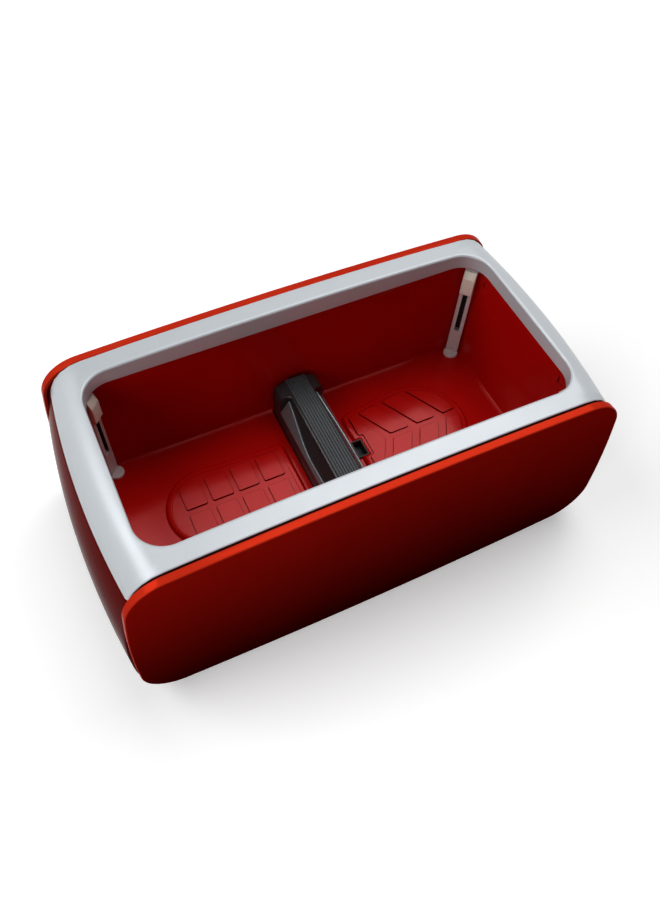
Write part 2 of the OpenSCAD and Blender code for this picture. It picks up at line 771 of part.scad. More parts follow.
// Treadle arm: from its hub on the shaft to the push pad under the pedal
module treadle_arm() {
    color(black) difference() {
        union() {
            translate([pivot_x, 0, pivot_z]) rotate([90, 0, 0])
                cylinder(r = lever_hub_r, h = treadle_w, center = true);
            block([pad_x / 2, -treadle_w / 2, arm_top - treadle_t], [pivot_x, treadle_w / 2, arm_top]);
        }
        translate([pivot_x, 0, pivot_z]) rotate([90, 0, 0])
            cylinder(r = shaft_r + seat, h = treadle_w + 2 * eps, center = true);
    }
}

module right_treadle_arm() {
    treadle_arm();
}

module left_treadle_arm() {
    mirror([1, 0, 0]) treadle_arm();
}

// Kicker arms: two uprights with a finger that fills a window of the well's end wall
module kicker_arms() {
    color(red) for (s = [-1, 1]) translate([0, s * kick_y, 0]) difference() {
        union() {
            translate([pivot_x, 0, pivot_z]) rotate([90, 0, 0])
                cylinder(r = lever_hub_r, h = kick_w, center = true);
            block([kick_x, -kick_w / 2, pivot_z], [kick_x + kick_t, kick_w / 2, kick_z + finger_h / 2]);
            block([kick_tip_x, -finger_w / 2, kick_z - finger_h / 2],
                [kick_x + kick_t / 2, finger_w / 2, kick_z + finger_h / 2]);
        }
        translate([pivot_x, 0, pivot_z]) rotate([90, 0, 0])
            cylinder(r = shaft_r + seat, h = kick_w + 2 * eps, center = true);
    }
}

module right_kicker_arms() {
    kicker_arms();
}

module left_kicker_arms() {
    mirror([1, 0, 0]) kicker_arms();
}

// Section of a rail: round at the back, flat at the front
module rail_section() {
    intersection() {
        translate([-rail_face, 0]) circle(r = rail_r);
        translate([-2 * rail_r - rail_face, -2 * rail_r]) square([2 * rail_r + rail_face, 4 * rail_r]);
    }
}

// Corner rail: a leaning post, cut level at its foot, with a slot and a wider bay for the follower
module rail(sx, sy) {
    color("thistle") difference() {
        corner(sx, sy) difference() {
            translate([0, 0, floor_z - rail_sink])
                linear_extrude(rail_top + rail_sink - floor_z) rail_section();
            block([-lip_t - bay_d, -bay_w / 2, slot_z], [-lip_t, bay_w / 2, rail_top + eps]);
            block([-lip_t - eps, -slot_w / 2, slot_z], [eps, slot_w / 2, rail_top + eps]);
        }
        block([-body_l / 2, -panel_w / 2, 0], [body_l / 2, panel_w / 2, floor_z]);
        corner(sx, sy, false) translate([-rail_face, 0, floor_z - eps])
            cylinder(r = screw_bore_r, h = screw_l + bore_spare);
    }
}

module rail_front_left() {
    rail(-1, -1);
}

module rail_front_right() {
    rail(1, -1);
}

module rail_back_left() {
    rail(-1, 1);
}

module rail_back_right() {
    rail(1, 1);
}

// Caps that close the rails and stop the followers
module rail_caps() {
    color("thistle") all_corners() translate([0, 0, rail_top]) linear_extrude(rail_cap_t) rail_section();
}

// Screws up through the floor into the rails
module rail_screws() {
    color(steel) all_corners(false) translate([-rail_face, 0, floor_low]) screw(well_t + screw_l);
}

// Follower: a sloped nose in front of the rail, on a tongue that runs in the bay
module follower() {
    back = -lip_t - bay_d + run;
    step = nose_reach - nose_edge;
    rise = min(nose_slope, follower_h / 2 - nose_edge);
    color("wheat") union() {
        rotate([90, 0, 0]) linear_extrude(2 * rail_half, center = true)
            polygon([[run, follower_low], [nose_reach - step, follower_low],
                [nose_reach, follower_low + rise], [nose_reach, follower_top - rise],
                [nose_reach - step, follower_top], [run, follower_top]]);
        block([back, -slot_w / 2 + run, follower_low], [run + eps, slot_w / 2 - run, follower_top]);
        block([back, -bay_w / 2 + run, follower_low], [-lip_t - run, bay_w / 2 - run, follower_top]);
    }
}

module follower_front_left() {
    corner(-1, -1) follower();
}

module follower_front_right() {
    corner(1, -1) follower();
}

module follower_back_left() {
    corner(-1, 1) follower();
}

module follower_back_right() {
    corner(1, 1) follower();
}

// Spring in the bay of a rail, under the follower's tongue
module rail_spring() {
    echo(str("rail spring gap ",
        coil_gap(rail_spring_r, rail_spring_wire, rail_spring_turns, slot_z, follower_low)));
    color(steel) translate([-lip_t - bay_d / 2, 0, 0])
        coil(rail_spring_r, rail_spring_wire, rail_spring_turns, slot_z, follower_low);
}

module spring_front_left() {
    corner(-1, -1) rail_spring();
}

module spring_front_right() {
    corner(1, -1) rail_spring();
}

module spring_back_left() {
    corner(-1, 1) rail_spring();
}

module spring_back_right() {
    corner(1, 1) rail_spring();
}

// Top frame: a crowned silver lid with an opening, a skirt and screw bosses
module top_frame() {
    color(silver) difference() {
        union() {
            difference() {
                frame_block(0, frame_y, seam_z);
                frame_block(skin, frame_y - skin, seam_z - eps);
                translate([0, 0, seam_z - eps]) linear_extrude(body_h)
                    polygon(round_rect(opening_l, opening_w, opening_r));
                block([-flange_x - 1, -body_h, seam_z - eps], [flange_x + 1, body_h, lip_z]);
            }
            intersection() {
                translate([0, 0, skirt_z]) linear_extrude(body_h) difference() {
                    polygon(round_rect(opening_l + 2 * skirt_t, opening_w + 2 * skirt_t,
                        opening_r + skirt_t));
                    polygon(round_rect(opening_l, opening_w, opening_r));
                }
                crown_block(skin / 2, frame_y, skirt_z);
            }
            intersection() {
                for (x = frame_boss_x, s = [-1, 1]) translate([x, s * boss_y, flange_z])
                    cylinder(r = frame_boss_r, h = body_h);
                crown_block(skin / 2, frame_y, flange_z);
            }
        }
        for (x = frame_boss_x, s = [-1, 1]) translate([x, s * boss_y, flange_z - eps])
            cylinder(r = screw_bore_r, h = screw_l + bore_spare);
    }
}

// Screws up through the well's flange into the frame's bosses
module frame_screws() {
    color(steel) for (x = frame_boss_x, s = [-1, 1])
        translate([x, s * boss_y, flange_z - flange_t]) screw(flange_t + screw_l);
}

// Right-hand half of a panel's outline, moved in by t; its plane leans outwards
function panel_half(t) =
    let (top = -panel_drop / cos(panel_lean), sole = -(body_h - panel_lift) / cos(panel_lean),
        side_x = panel_l / 2 - panel_side_r, side_y = -(body_h - bulge_z) / cos(panel_lean),
        guess_y = top - crown(panel_l / 2 - panel_top_r) - panel_top_r,
        x1 = side_x + sqrt(pow(panel_side_r - panel_top_r, 2) - pow(guess_y - side_y, 2)),
        y1 = top - crown(x1) - panel_top_r,
        y2 = sole + panel_foot_r + sole_rise(panel_l / 2 - panel_foot_r),
        x2 = side_x + sqrt(pow(panel_side_r - panel_foot_r, 2) - pow(y2 - side_y, 2)),
        turn1 = atan2(y1 - side_y, x1 - side_x), turn2 = atan2(y2 - side_y, x2 - side_x))
    concat([for (i = [1 : arc_steps]) let (x = x1 * i / arc_steps) [x, top - t - crown(x)]],
        arc(x1, y1, panel_top_r - t, 86, turn1),
        arc(side_x, side_y, panel_side_r - t, turn1 - side_step, turn2 + side_step),
        arc(x2, y2, panel_foot_r - t, turn2, -86),
        [for (i = [arc_steps : -1 : 1]) let (x = x2 * i / arc_steps) [x, sole + t + sole_rise(x)]]);

// Rise of a panel's crowned bottom edge at a distance from the middle
function sole_rise(x) = panel_sole_r - sqrt(pow(panel_sole_r, 2) - pow(x, 2));
side_step = 1;                      // angle left between a panel's side and its corners

// Places a drawing in the plane of the front panel's outer face, depth along -Z
module panel_plane() {
    translate([0, -panel_w / 2, body_h]) rotate([90 - panel_lean, 0, 0]) children();
}

// Front panel: a skin with a rim, and pads inside that meet the base and the flange
module panel() {
    deep = panel_rim + pad_h;
    color(red) difference() {
        union() {
            panel_plane() difference() {
                translate([0, 0, -panel_rim]) linear_extrude(panel_rim) polygon(both_sides(panel_half(0)));
                translate([0, 0, -panel_rim - eps]) linear_extrude(panel_rim - skin + eps)
                    polygon(both_sides(panel_half(skin)));
            }
            intersection() {
                panel_plane() translate([0, 0, -deep]) linear_extrude(deep - skin / 2)
                    polygon(both_sides(panel_half(skin / 2)));
                for (s = [-1, 1]) {
                    block([s * side_screw_x - pad_w / 2, -panel_w, cover_screw_z - pad_h / 2],
                        [s * side_screw_x + pad_w / 2, -base_y, cover_screw_z + pad_h / 2]);
                    block([s * clip_x - pad_w / 2, -panel_w, flange_z - clip_h],
                        [s * clip_x + pad_w / 2, -flange_y, flange_z]);
                }
            }
        }
        for (s = [-1, 1]) translate([s * side_screw_x, -base_y + eps, cover_screw_z]) rotate([90, 0, 0])
            cylinder(r = screw_bore_r, h = screw_l - upstand_t + bore_spare + eps);
    }
}

module front_panel() {
    panel();
}

module back_panel() {
    mirror([0, 1, 0]) panel();
}

// Space between the rims of the two panels, on the right, moved in by t
module between_panels(t) {
    edge = panel_rim / cos(panel_lean) + seam_gap + t;
    y0 = panel_y(0) - edge;
    y1 = panel_y(body_h) - edge;
    rotate([90, 0, 90]) linear_extrude(body_l)
        polygon([[-y0, 0], [y0, 0], [y1, body_h], [-y1, body_h]]);
}

// Bulged and bowed wall of thickness t
module end_shell(t, high) {
    inside = tucked(t, high);
    bowed(concat(tucked(0, high), [for (i = [len(inside) - 1 : -1 : 0]) inside[i]]));
}

// End panel: a bulged skin between the two panels, with a return along each side
// that closes the joint to the panel, and pads on the base
end_return = 14;
module end_panel() {
    low = foot_h;
    high = seam_z - seam_gap;
    color(red) difference() {
        union() {
            intersection() {
                end_shell(skin, high);
                between_panels(0);
            }
            intersection() {
                end_shell(end_return, high);
                difference() {
                    between_panels(0);
                    between_panels(skin);
                }
            }
            intersection() {
                bowed(concat([[pivot_x, low]], tucked(skin / 2, high), [[pivot_x, high]]));
                for (s = [-1, 1]) block([base_x, s * end_screw_y - pad_w / 2, cover_screw_z - pad_h / 2],
                    [body_l, s * end_screw_y + pad_w / 2, cover_screw_z + pad_h / 2]);
            }
        }
        for (s = [-1, 1]) translate([base_x - eps, s * end_screw_y, cover_screw_z]) rotate([0, 90, 0])
            cylinder(r = screw_bore_r, h = screw_l - upstand_t + bore_spare + eps);
    }
}

module right_end_panel() {
    end_panel();
}

module left_end_panel() {
    mirror([1, 0, 0]) end_panel();
}

base_plate();
rubber_feet();
base_screws();
well_pillars();
foot_tray();
pocket_cup();
guide_rods();
pedal_springs();
pedal_body();
pedal_tread();
pedal_inlay_left();
pedal_inlay_right();
shaft_brackets();
left_lever_shaft();
right_lever_shaft();
left_treadle_arm();
right_treadle_arm();
left_kicker_arms();
right_kicker_arms();
rail_front_left();
rail_front_right();
rail_back_left();
rail_back_right();
rail_caps();
rail_screws();
follower_front_left();
follower_front_right();
follower_back_left();
follower_back_right();
spring_front_left();
spring_front_right();
spring_back_left();
spring_back_right();
top_frame();
frame_screws();
front_panel();
back_panel();
left_end_panel();
right_end_panel();
panel_screws();
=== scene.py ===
import bmesh
import bpy
import mathutils
import numpy as np
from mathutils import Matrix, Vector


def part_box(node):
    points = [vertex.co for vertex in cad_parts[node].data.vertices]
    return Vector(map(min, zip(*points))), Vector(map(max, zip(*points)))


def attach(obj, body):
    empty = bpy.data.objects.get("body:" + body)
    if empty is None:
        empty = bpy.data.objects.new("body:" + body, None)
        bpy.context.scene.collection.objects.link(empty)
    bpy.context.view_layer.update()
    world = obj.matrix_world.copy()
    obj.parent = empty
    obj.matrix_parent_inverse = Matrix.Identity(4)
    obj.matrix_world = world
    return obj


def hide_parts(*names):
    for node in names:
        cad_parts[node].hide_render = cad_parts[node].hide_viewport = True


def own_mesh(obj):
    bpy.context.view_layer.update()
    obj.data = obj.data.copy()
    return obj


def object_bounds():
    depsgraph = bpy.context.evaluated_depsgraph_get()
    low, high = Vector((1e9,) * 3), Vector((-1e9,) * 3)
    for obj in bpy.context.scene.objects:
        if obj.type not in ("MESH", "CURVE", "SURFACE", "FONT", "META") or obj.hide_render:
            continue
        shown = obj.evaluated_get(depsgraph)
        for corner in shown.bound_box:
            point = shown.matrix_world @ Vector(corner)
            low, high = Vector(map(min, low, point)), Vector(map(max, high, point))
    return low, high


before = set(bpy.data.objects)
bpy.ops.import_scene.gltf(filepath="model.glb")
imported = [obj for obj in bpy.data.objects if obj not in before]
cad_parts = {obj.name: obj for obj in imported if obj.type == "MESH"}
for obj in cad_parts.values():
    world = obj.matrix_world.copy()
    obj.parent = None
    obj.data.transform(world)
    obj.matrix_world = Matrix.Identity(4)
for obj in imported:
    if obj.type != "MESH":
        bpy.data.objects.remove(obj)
cad_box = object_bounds()

# Rubber feet: four black bumpers pressed on under the corners of the base plate. Moulded
# rubber with a rounded tread edge, matt and a little dusty; the box stands on them.
MM = 0.001  # metres in a millimetre: sizes are in millimetres, except the lamps' in metres
MEET = 0.004  # points closer than this are one point
CREASE = 32  # degrees: edges that turn by more stay sharp
BOTH = (-1, 1)  # the two sides of the middle


def srgb(code):
    """Linear colour of an sRGB hex value: each channel goes through the sRGB curve."""
    c = np.array([int(code[i : i + 2], 16) for i in (1, 3, 5)]) / 255
    linear = np.where(c <= 0.04045, c / 12.92, ((c + 0.055) / 1.055) ** 2.4)
    return (*linear.tolist(), 1.0)


def add_node(tree, kind, sockets=None, **settings):
    """Adds a shader node: settings are its properties, and each socket takes a value or a link."""
    made = tree.nodes.new("ShaderNode" + kind)
    for name, value in settings.items():
        setattr(made, name, value)
    for name, value in (sockets or {}).items():
        if isinstance(value, bpy.types.NodeSocket):
            tree.links.new(value, made.inputs[name])
        else:
            made.inputs[name].default_value = value
    return made


def noise(tree, place, grain, detail=2.0):
    """Soft noise from 0 to 1, whose patches are one grain wide."""
    sockets = {"Vector": place, "Scale": 1 / (grain * MM), "Detail": detail}
    return add_node(tree, "TexNoise", sockets).outputs[0]


def mixed(tree, share, first, second):
    """Colour between two by a share: a Mix node has them in sockets 6 and 7, and gives output 2."""
    sockets = {0: share, 6: first, 7: second}
    return add_node(tree, "Mix", sockets, data_type="RGBA").outputs[2]


def ranged(tree, value, low, high, start=0, end=1):
    """Carries a value from the range start to end over to the range low to high."""
    sockets = {"Value": value, "From Min": start, "From Max": end, "To Min": low, "To Max": high}
    return add_node(tree, "MapRange", sockets).outputs[0]


def bump(tree, height, depth):
    """Surface normal of a relief as deep as depth."""
    return add_node(tree, "Bump", {"Height": height, "Distance": depth * MM}).outputs[0]


def new_finish(name):
    """Empty material: itself, its node tree and a socket with each point's place on the object."""
    finish = bpy.data.materials.new(name)
    finish.use_nodes = True
    finish.node_tree.nodes.clear()
    place = add_node(finish.node_tree, "TexCoord").outputs["Object"]
    return finish, finish.node_tree, place


def principled(tree, sockets):
    """Ends a material's tree with a Principled shader, whose sockets take values or links."""
    shader = add_node(tree, "BsdfPrincipled", sockets)
    add_node(tree, "OutputMaterial", {"Surface": shader.outputs["BSDF"]})


def moulded_finish(name, dark, light, grain, depth, rough, constants):
    """Moulded plastic or rubber: two close tones in patches eight grains wide, a roughness that
    goes between two values with the same patches, and a bump of single grains."""
    finish, tree, place = new_finish(name)
    patch = noise(tree, place, 8 * grain, 3.0)
    principled(tree, {
        "Base Color": mixed(tree, patch, srgb(dark), srgb(light)),
        "Roughness": ranged(tree, patch, *rough),
        "Normal": bump(tree, noise(tree, place, grain), depth),
        **constants,
    })
    return finish


def node_box(name):
    """Lowest and highest corner of a CAD node at rest."""
    low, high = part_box(name)
    return np.array(low) / MM, np.array(high) / MM


def points_of(*columns):
    """Points from their coordinates, each a value or an array, stretched to one shape."""
    return np.stack(np.broadcast_arrays(*columns), -1)


def cells(grid):
    """The four corner points of each cell of a grid of points, in order round the cell."""
    return np.stack([grid[:-1, :-1], grid[:-1, 1:], grid[1:, 1:], grid[1:, :-1]], 2)


def add_object(name, data):
    """Puts an object in the scene."""
    made = bpy.data.objects.new(name, data)
    bpy.context.scene.collection.objects.link(made)
    return made


def make_piece(
    name, body, finish, replaced, grids=(), quads=(), caps=(), lined=(), lining=None
):
    """Mesh piece on a body, in place of CAD nodes. Each cell of a grid becomes a face, and so do
    loose quads and caps; the grids in lined take the second finish, lining. Points that meet are
    merged, faces turned outwards, and edges that turn by more than the crease angle stay sharp."""
    loose = [cells(grid) for grid in (*lined, *grids)] + list(quads)
    points = np.concatenate([quad.reshape(-1, 3) for quad in loose])
    lined_faces = sum((len(grid) - 1) * (len(grid[0]) - 1) for grid in lined)
    faces = np.arange(len(points)).reshape(-1, 4).tolist()
    first = len(points)
    for cap in caps:
        faces.append(list(range(first, first + len(cap))))
        first += len(cap)
    points = np.concatenate([points, *caps]) * MM
    mesh = bpy.data.meshes.new(name)
    mesh.from_pydata(points.tolist(), [], faces)
    second = np.arange(len(faces)) < lined_faces
    mesh.polygons.foreach_set("material_index", second.astype(int))
    shell = bmesh.new()
    shell.from_mesh(mesh)
    bmesh.ops.remove_doubles(shell, verts=shell.verts, dist=MEET * MM)
    bmesh.ops.dissolve_degenerate(shell, edges=shell.edges, dist=MEET * MM)
    bmesh.ops.recalc_face_normals(shell, faces=shell.faces)
    shell.to_mesh(mesh)
    shell.free()
    mesh.set_sharp_from_angle(angle=np.radians(CREASE))
    sides = np.zeros(len(mesh.polygons), int)
    mesh.polygons.foreach_get("loop_total", sides)
    mesh.polygons.foreach_set("use_smooth", sides <= 4)
    mesh.materials.append(finish)
    if lining:
        mesh.materials.append(lining)
    piece = add_object(name, mesh)
    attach(piece, body)
    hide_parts(*replaced)
    return piece


def lathe(profile, x, y, turns=48):
    """Surface of revolution about an upright axis at x, y: each (radius, height) goes round it."""
    turn = np.linspace(0, 2 * np.pi, turns + 1)
    radius, height = np.array(profile, float).T[:, :, None]
    return points_of(x + radius * np.cos(turn), y + radius * np.sin(turn), height)


foot_r, foot_h = 10, 6
foot_x, foot_y = node_box("rubber_feet")[1][:2] - foot_r
# (radius, height): hollow middle, tread ring, rounded edge, side and top
foot_profile = [
    (0, 0.5), (5, 0.5), (5.6, 0), (8.4, 0), (9.3, 0.3), (9.8, 1), (foot_r, 2), (9.6, foot_h),
    (0, foot_h),
]

# Nitrile rubber, moulded: near black, matt, with pale dust in its grain.
rubber = moulded_finish(
    "moulded rubber", "#141415", "#242426", 0.8, 0.02, (0.75, 0.9), {"IOR": 1.52}
)
make_piece(
    "rubber_feet_moulded", "root", rubber, ["rubber_feet"],
    [lathe(foot_profile, sx * foot_x, sy * foot_y) for sx in BOTH for sy in BOTH],
)

# Base plate, pillars, shaft brackets, treadle arms and pocket cup: the black carcass that carries
# everything else, injection moulded with upstands for the covers. Seen from below and through gaps.
carcass = moulded_finish(
    "moulded polypropylene", "#17181a", "#202224", 0.9, 0.02, (0.5, 0.62), {"IOR": 1.49}
)


def coat(finish, *names):
    """Gives CAD nodes that keep their own shape a finish."""
    for name in names:
        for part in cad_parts[name].material_slots:
            part.material = finish


coat(carcass, "base_plate", "well_pillars", "shaft_brackets", "pocket_cup")
coat(carcass, "left_treadle_arm", "right_treadle_arm")

# Guide rods, lever shafts and screws: drawn and cut steel, zinc plated. The plating is a little
# cloudy, which shows in its gloss.


def metal_finish(name, colour, metallic, grain, detail, rough):
    """Metal, or plastic with a metal coat: one colour, and a roughness that goes between two
    values in patches one grain wide."""
    finish, tree, place = new_finish(name)
    gloss = ranged(tree, noise(tree, place, grain, detail), *rough)
    principled(tree, {"Base Color": srgb(colour), "Metallic": metallic, "Roughness": gloss})
    return finish


steel = metal_finish("zinc-plated steel", "#b9bdc0", 1.0, 4, 4.0, (0.24, 0.42))
coat(steel, "guide_rods", "left_lever_shaft", "right_lever_shaft")
coat(steel, "base_screws", "frame_screws", "rail_screws", "panel_screws")

# Pedal springs: two coils of zinc-plated spring wire round the guide rods, which push the pedal
# back up. On the box they close up as the pedal goes down; here they are drawn at rest.


def unit(vectors):
    """Vectors scaled to length 1."""
    return vectors / np.linalg.norm(vectors, axis=-1, keepdims=True)


def coil(x, y, low, high, radius, wire, turns):
    """Round wire along a helix: the path goes round x, y and up in 40 steps a turn, and each of
    its points carries a circle of 10 steps across the path."""
    along = np.linspace(0, 1, 40 * turns)
    turn = 2 * np.pi * turns * along
    out = points_of(np.cos(turn), np.sin(turn), 0)
    path = out * radius + points_of(x, y, low + wire + (high - low - 2 * wire) * along)
    across = np.cross(unit(np.gradient(path, axis=0)), out)
    ring = np.linspace(0, 2 * np.pi, 11)[:, None]
    tube = path[:, None] + wire * (np.cos(ring) * out[:, None] + np.sin(ring) * across[:, None])
    ends = np.repeat(path[[0, -1]][:, None], len(ring), 1)
    return np.concatenate([ends[:1], tube, ends[1:]])


pedal_stroke, coil_r, wire_r, coil_turns = 11, 6.6, 0.8, 7
spring_low, spring_high = node_box("pedal_springs")
spring_y = spring_high[1] - coil_r - wire_r
pedal_coils = [
    coil(0, sy * spring_y, spring_low[2], spring_high[2], coil_r, wire_r, coil_turns)
    for sy in BOTH
]
pedal_springs = make_piece(
    "pedal_spring_coils", "root", steel, ["pedal_springs"], pedal_coils
)
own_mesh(pedal_springs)

# Foot tray: the red well, one moulding with a flange under the top frame, leaning walls, an opening
# for the pedal and windows for the release levers. Lacquered gloss red, with raised footprints.
tray_low, tray_high = node_box("foot_tray")
tray_wall, flange_t, flange_w, flange_r = 2.5, 3, (9.5, 13), 8
flange_z, floor_z = tray_high[2], tray_low[2] + tray_wall
draft, floor_shift = np.array((4, 9.5)), 3.5
well_top = tray_high[:2] - flange_w
well_floor, well_h = well_top - draft, flange_z - floor_z
well_r, floor_fillet, lip_r = 7.5, 1.6, 1.2
floor_field = np.array((172, 64))  # inner rectangle of the floor, where it is one flat plate
end_zone = 155  # the walls shift beyond this, with the leaning ends
pedal_hole, pocket_x, pocket_y = 24.8, (31, 43.1), 10.1  # openings in the floor
end_wall_x, window_y, window_z = 190, (61.1, 68.7), (170.9, 163.3)  # lever windows in the end walls


def both_ways(steps):
    """Places at these steps from the middle, both ways, and the middle."""
    return np.concatenate([-np.array(steps)[::-1], [0], steps])


# along the sides, points lie at the edges of the openings and at steps between them
side_x = both_ways([pedal_hole, *pocket_x, 60, 100, 150, floor_field[0]])
side_y = both_ways([pocket_y, 20, 40, window_y[0], floor_field[1], window_y[1]])


def quarter(count):
    """Angles of a quarter turn, evenly spaced."""
    return np.radians(np.linspace(0, 90, count))


def round_rect(half, r, xs, ys, turns=10):
    """Closed loop of a rectangle with round corners: its long sides pass through the places xs and
    its short ones through ys, held within the straight part, with a quarter circle between them."""
    turn = quarter(turns)
    reach = np.array(half) - r
    bent = reach + r * points_of(np.cos(turn), np.sin(turn))
    right = points_of(half[0], np.clip(ys, -reach[1], reach[1]))
    far = points_of(np.clip(xs, -reach[0], reach[0])[::-1], half[1])
    round_half = np.concatenate([right, bent, far, (bent * (-1, 1))[::-1]])
    return np.concatenate([round_half, -round_half, round_half[:1]])


def at_height(loop, z):
    """Points in plan, lifted to a height."""
    return np.column_stack([loop, np.full(len(loop), z)])


def sheet(front, back, keep, edges=((False, False), (False, False))):
    """Quads of a wall between two grids of points, without the cells where keep is false. A cut
    edge is closed from front to back, and so is each outer edge that edges names: first and last
    row, first and last column."""
    quads = [cells(front)[keep], cells(back)[keep]]
    for axis in (0, 1):
        kept, near, far = [np.moveaxis(grid, axis, 0) for grid in (keep, front, back)]
        none = np.zeros_like(kept[:1])
        cut = np.diff(np.concatenate([none, kept, none]).astype(int), axis=0) != 0
        cut[0] &= edges[axis][0]
        cut[-1] &= edges[axis][1]
        quads.append(np.stack([near[:, :-1], near[:, 1:], far[:, 1:], far[:, :-1]], 2)[cut])
    return np.concatenate(quads)


def well_half(z):
    """Half length and width of the well at a height: straight walls from the floor to the top."""
    return well_floor + draft * (z - floor_z) / well_h


def wall_loop(half, r, z):
    """Loop of the tray at a height: the well's floor is set towards the heel and its end walls lean
    back to the middle, while the flat part of the floor and the places along the sides stay put."""
    loop = round_rect(half, r, side_x, side_y)
    shift = 0 if half is floor_field else floor_shift * np.clip((flange_z - z) / well_h, 0, 1)
    loop[:, 0] -= shift * (np.abs(loop[:, 0]) > end_zone)
    return at_height(loop, z)


bend = quarter(5)[1:]  # steps of a rounded edge


def fillet_rows(r):
    """Rows of the bend from wall to floor: a quarter circle of radius r about the fillet's axis."""
    side = r * np.cos(bend) - floor_fillet
    height = floor_z + floor_fillet - r * np.sin(bend)
    return [(well_floor + s, well_r + s, z) for s, z in zip(side, height)]


# each row is a loop's half size, its corner radius and its height, from the flange to the floor
lip_mid = 0.3 * lip_r
lip_rows = [
    (tray_high[:2], flange_r, flange_z),
    (well_top + lip_r, well_r + lip_r, flange_z),
    (well_top + lip_mid, well_r + lip_mid, flange_z - lip_mid),
    (well_half(flange_z - lip_r), well_r, flange_z - lip_r),
]
wall_z = [*window_z, 140, 115, 90, floor_z + floor_fillet]
front_rows = [
    *lip_rows, *[(well_half(z), well_r, z) for z in wall_z], *fillet_rows(floor_fillet),
    (floor_field, 0, floor_z),
]
under_z, outer_r = flange_z - flange_t, well_r + tray_wall
back_rows = [
    (tray_high[:2], flange_r, under_z), *[(well_top + tray_wall, outer_r, under_z)] * 3,
    *[(well_half(z) + tray_wall, outer_r, z) for z in wall_z],
    *fillet_rows(floor_fillet + tray_wall), (floor_field, 0, floor_z - tray_wall),
]
wall_front, wall_back = [
    np.stack([wall_loop(*row) for row in rows]) for rows in (front_rows, back_rows)
]
wall_row = np.arange(len(front_rows) - 1)[:, None]
wall_x, wall_y, _ = np.moveaxis(np.abs(cells(wall_front).mean(2)), -1, 0)
in_window = (
    (wall_row == len(lip_rows)) & (wall_x > end_wall_x)
    & (wall_y > window_y[0]) & (wall_y < window_y[1])
)
in_pedal_hole = (wall_row == wall_row[-1]) & (wall_x < pedal_hole)
flange_only = ((True, False), (False, False))
walls = sheet(wall_front, wall_back, ~(in_window | in_pedal_hole), flange_only)
floor_x, floor_y = [
    np.unique(np.clip(places, -half, half)) for places, half in zip((side_x, side_y), floor_field)
]
floor_top = points_of(floor_x[:, None], floor_y, floor_z)
cell_x, cell_y, _ = np.moveaxis(cells(floor_top).mean(2), -1, 0)
in_pocket = (cell_x > pocket_x[0]) & (cell_x < pocket_x[1]) & (np.abs(cell_y) < pocket_y)
floor_keep = (np.abs(cell_x) > pedal_hole) & ~in_pocket
floor_plate = sheet(floor_top, floor_top - (0, 0, tray_wall), floor_keep)


def arc(x, y, r, start, end, count):
    """Points of an arc about x, y, from one angle in degrees to another."""
    turn = np.radians(np.linspace(start, end, count))
    return points_of(x + r * np.cos(turn), y + r * np.sin(turn))


def steps_of(outline):
    """From each point of a closed outline to the next."""
    return np.roll(outline, -1, 0) - outline


def inset(outline, by):
    """Closed outline moved in by a distance: each point goes along the mean of the normals of its
    two edges, further at a sharper corner so that the edges stay parallel."""
    edge = unit(steps_of(outline))
    normal = points_of(-edge[:, 1], edge[:, 0])
    before = np.roll(normal, 1, 0)
    return outline + by * (normal + before) / (1 + (normal * before).sum(1, keepdims=True))


def eased(outline, r, steps=5):
    """Closed outline with its corners rounded: each corner becomes a parabola between two points on
    its edges, as far from the corner as a circle of radius r would touch them, and within 0.45 of
    the edge. Turns of less than 12 degrees stay."""
    ahead, behind = steps_of(outline), np.roll(outline, 1, 0) - outline
    shorter = np.minimum(np.linalg.norm(ahead, axis=1), np.linalg.norm(behind, axis=1))
    ahead, behind = unit(ahead), unit(behind)
    half_turn = (np.pi - np.arccos(np.clip((ahead * behind).sum(1), -1, 1))) / 2
    reach = np.minimum(r * np.tan(half_turn), 0.45 * shorter)
    reach = np.where(half_turn > np.radians(6), reach, 0)[:, None]
    start, end = (outline + behind * reach)[:, None], (outline + ahead * reach)[:, None]
    t = np.linspace(0, 1, steps)[:, None]
    loop = (1 - t) ** 2 * start + 2 * t * (1 - t) * outline[:, None] + t**2 * end
    loop = loop.reshape(-1, 2)
    return loop[np.linalg.norm(steps_of(loop), axis=1) > 5 * MEET]


def clipped(outline, edge, shortest=1.6):
    """Closed outline cut to a convex edge, side by side: points inside stay, and each crossing of
    the side adds a point. A point within shortest of the next one goes, so that the outline can be
    eased."""
    for a, b in zip(edge, np.roll(edge, -1, 0)):
        side = (b - a)[0] * (outline - a)[:, 1] - (b - a)[1] * (outline - a)[:, 0]
        after = np.roll(side, -1)
        share = side / np.where(side == after, 1, side - after)
        crossing = outline + share[:, None] * steps_of(outline)
        keep = np.stack([side >= 0, (side >= 0) != (after >= 0)], 1)
        outline = np.stack([outline, crossing], 1)[keep]
    return outline[np.linalg.norm(steps_of(outline), axis=1) > shortest]


def closed(loops):
    """Loops of points as the rows of a grid, whose last column is its first one again."""
    grid = np.stack(loops)
    return np.concatenate([grid, grid[:, :1]], 1)


def raised(outline, steps, base=0):
    """Raised shape over an outline: the outline repeated at each (inset, height over the base), as
    a closed grid, with its lowest and highest loops as caps."""
    loops = [at_height(inset(outline, by), base + z) for by, z in steps]
    return closed(loops), [loops[0], loops[-1]]


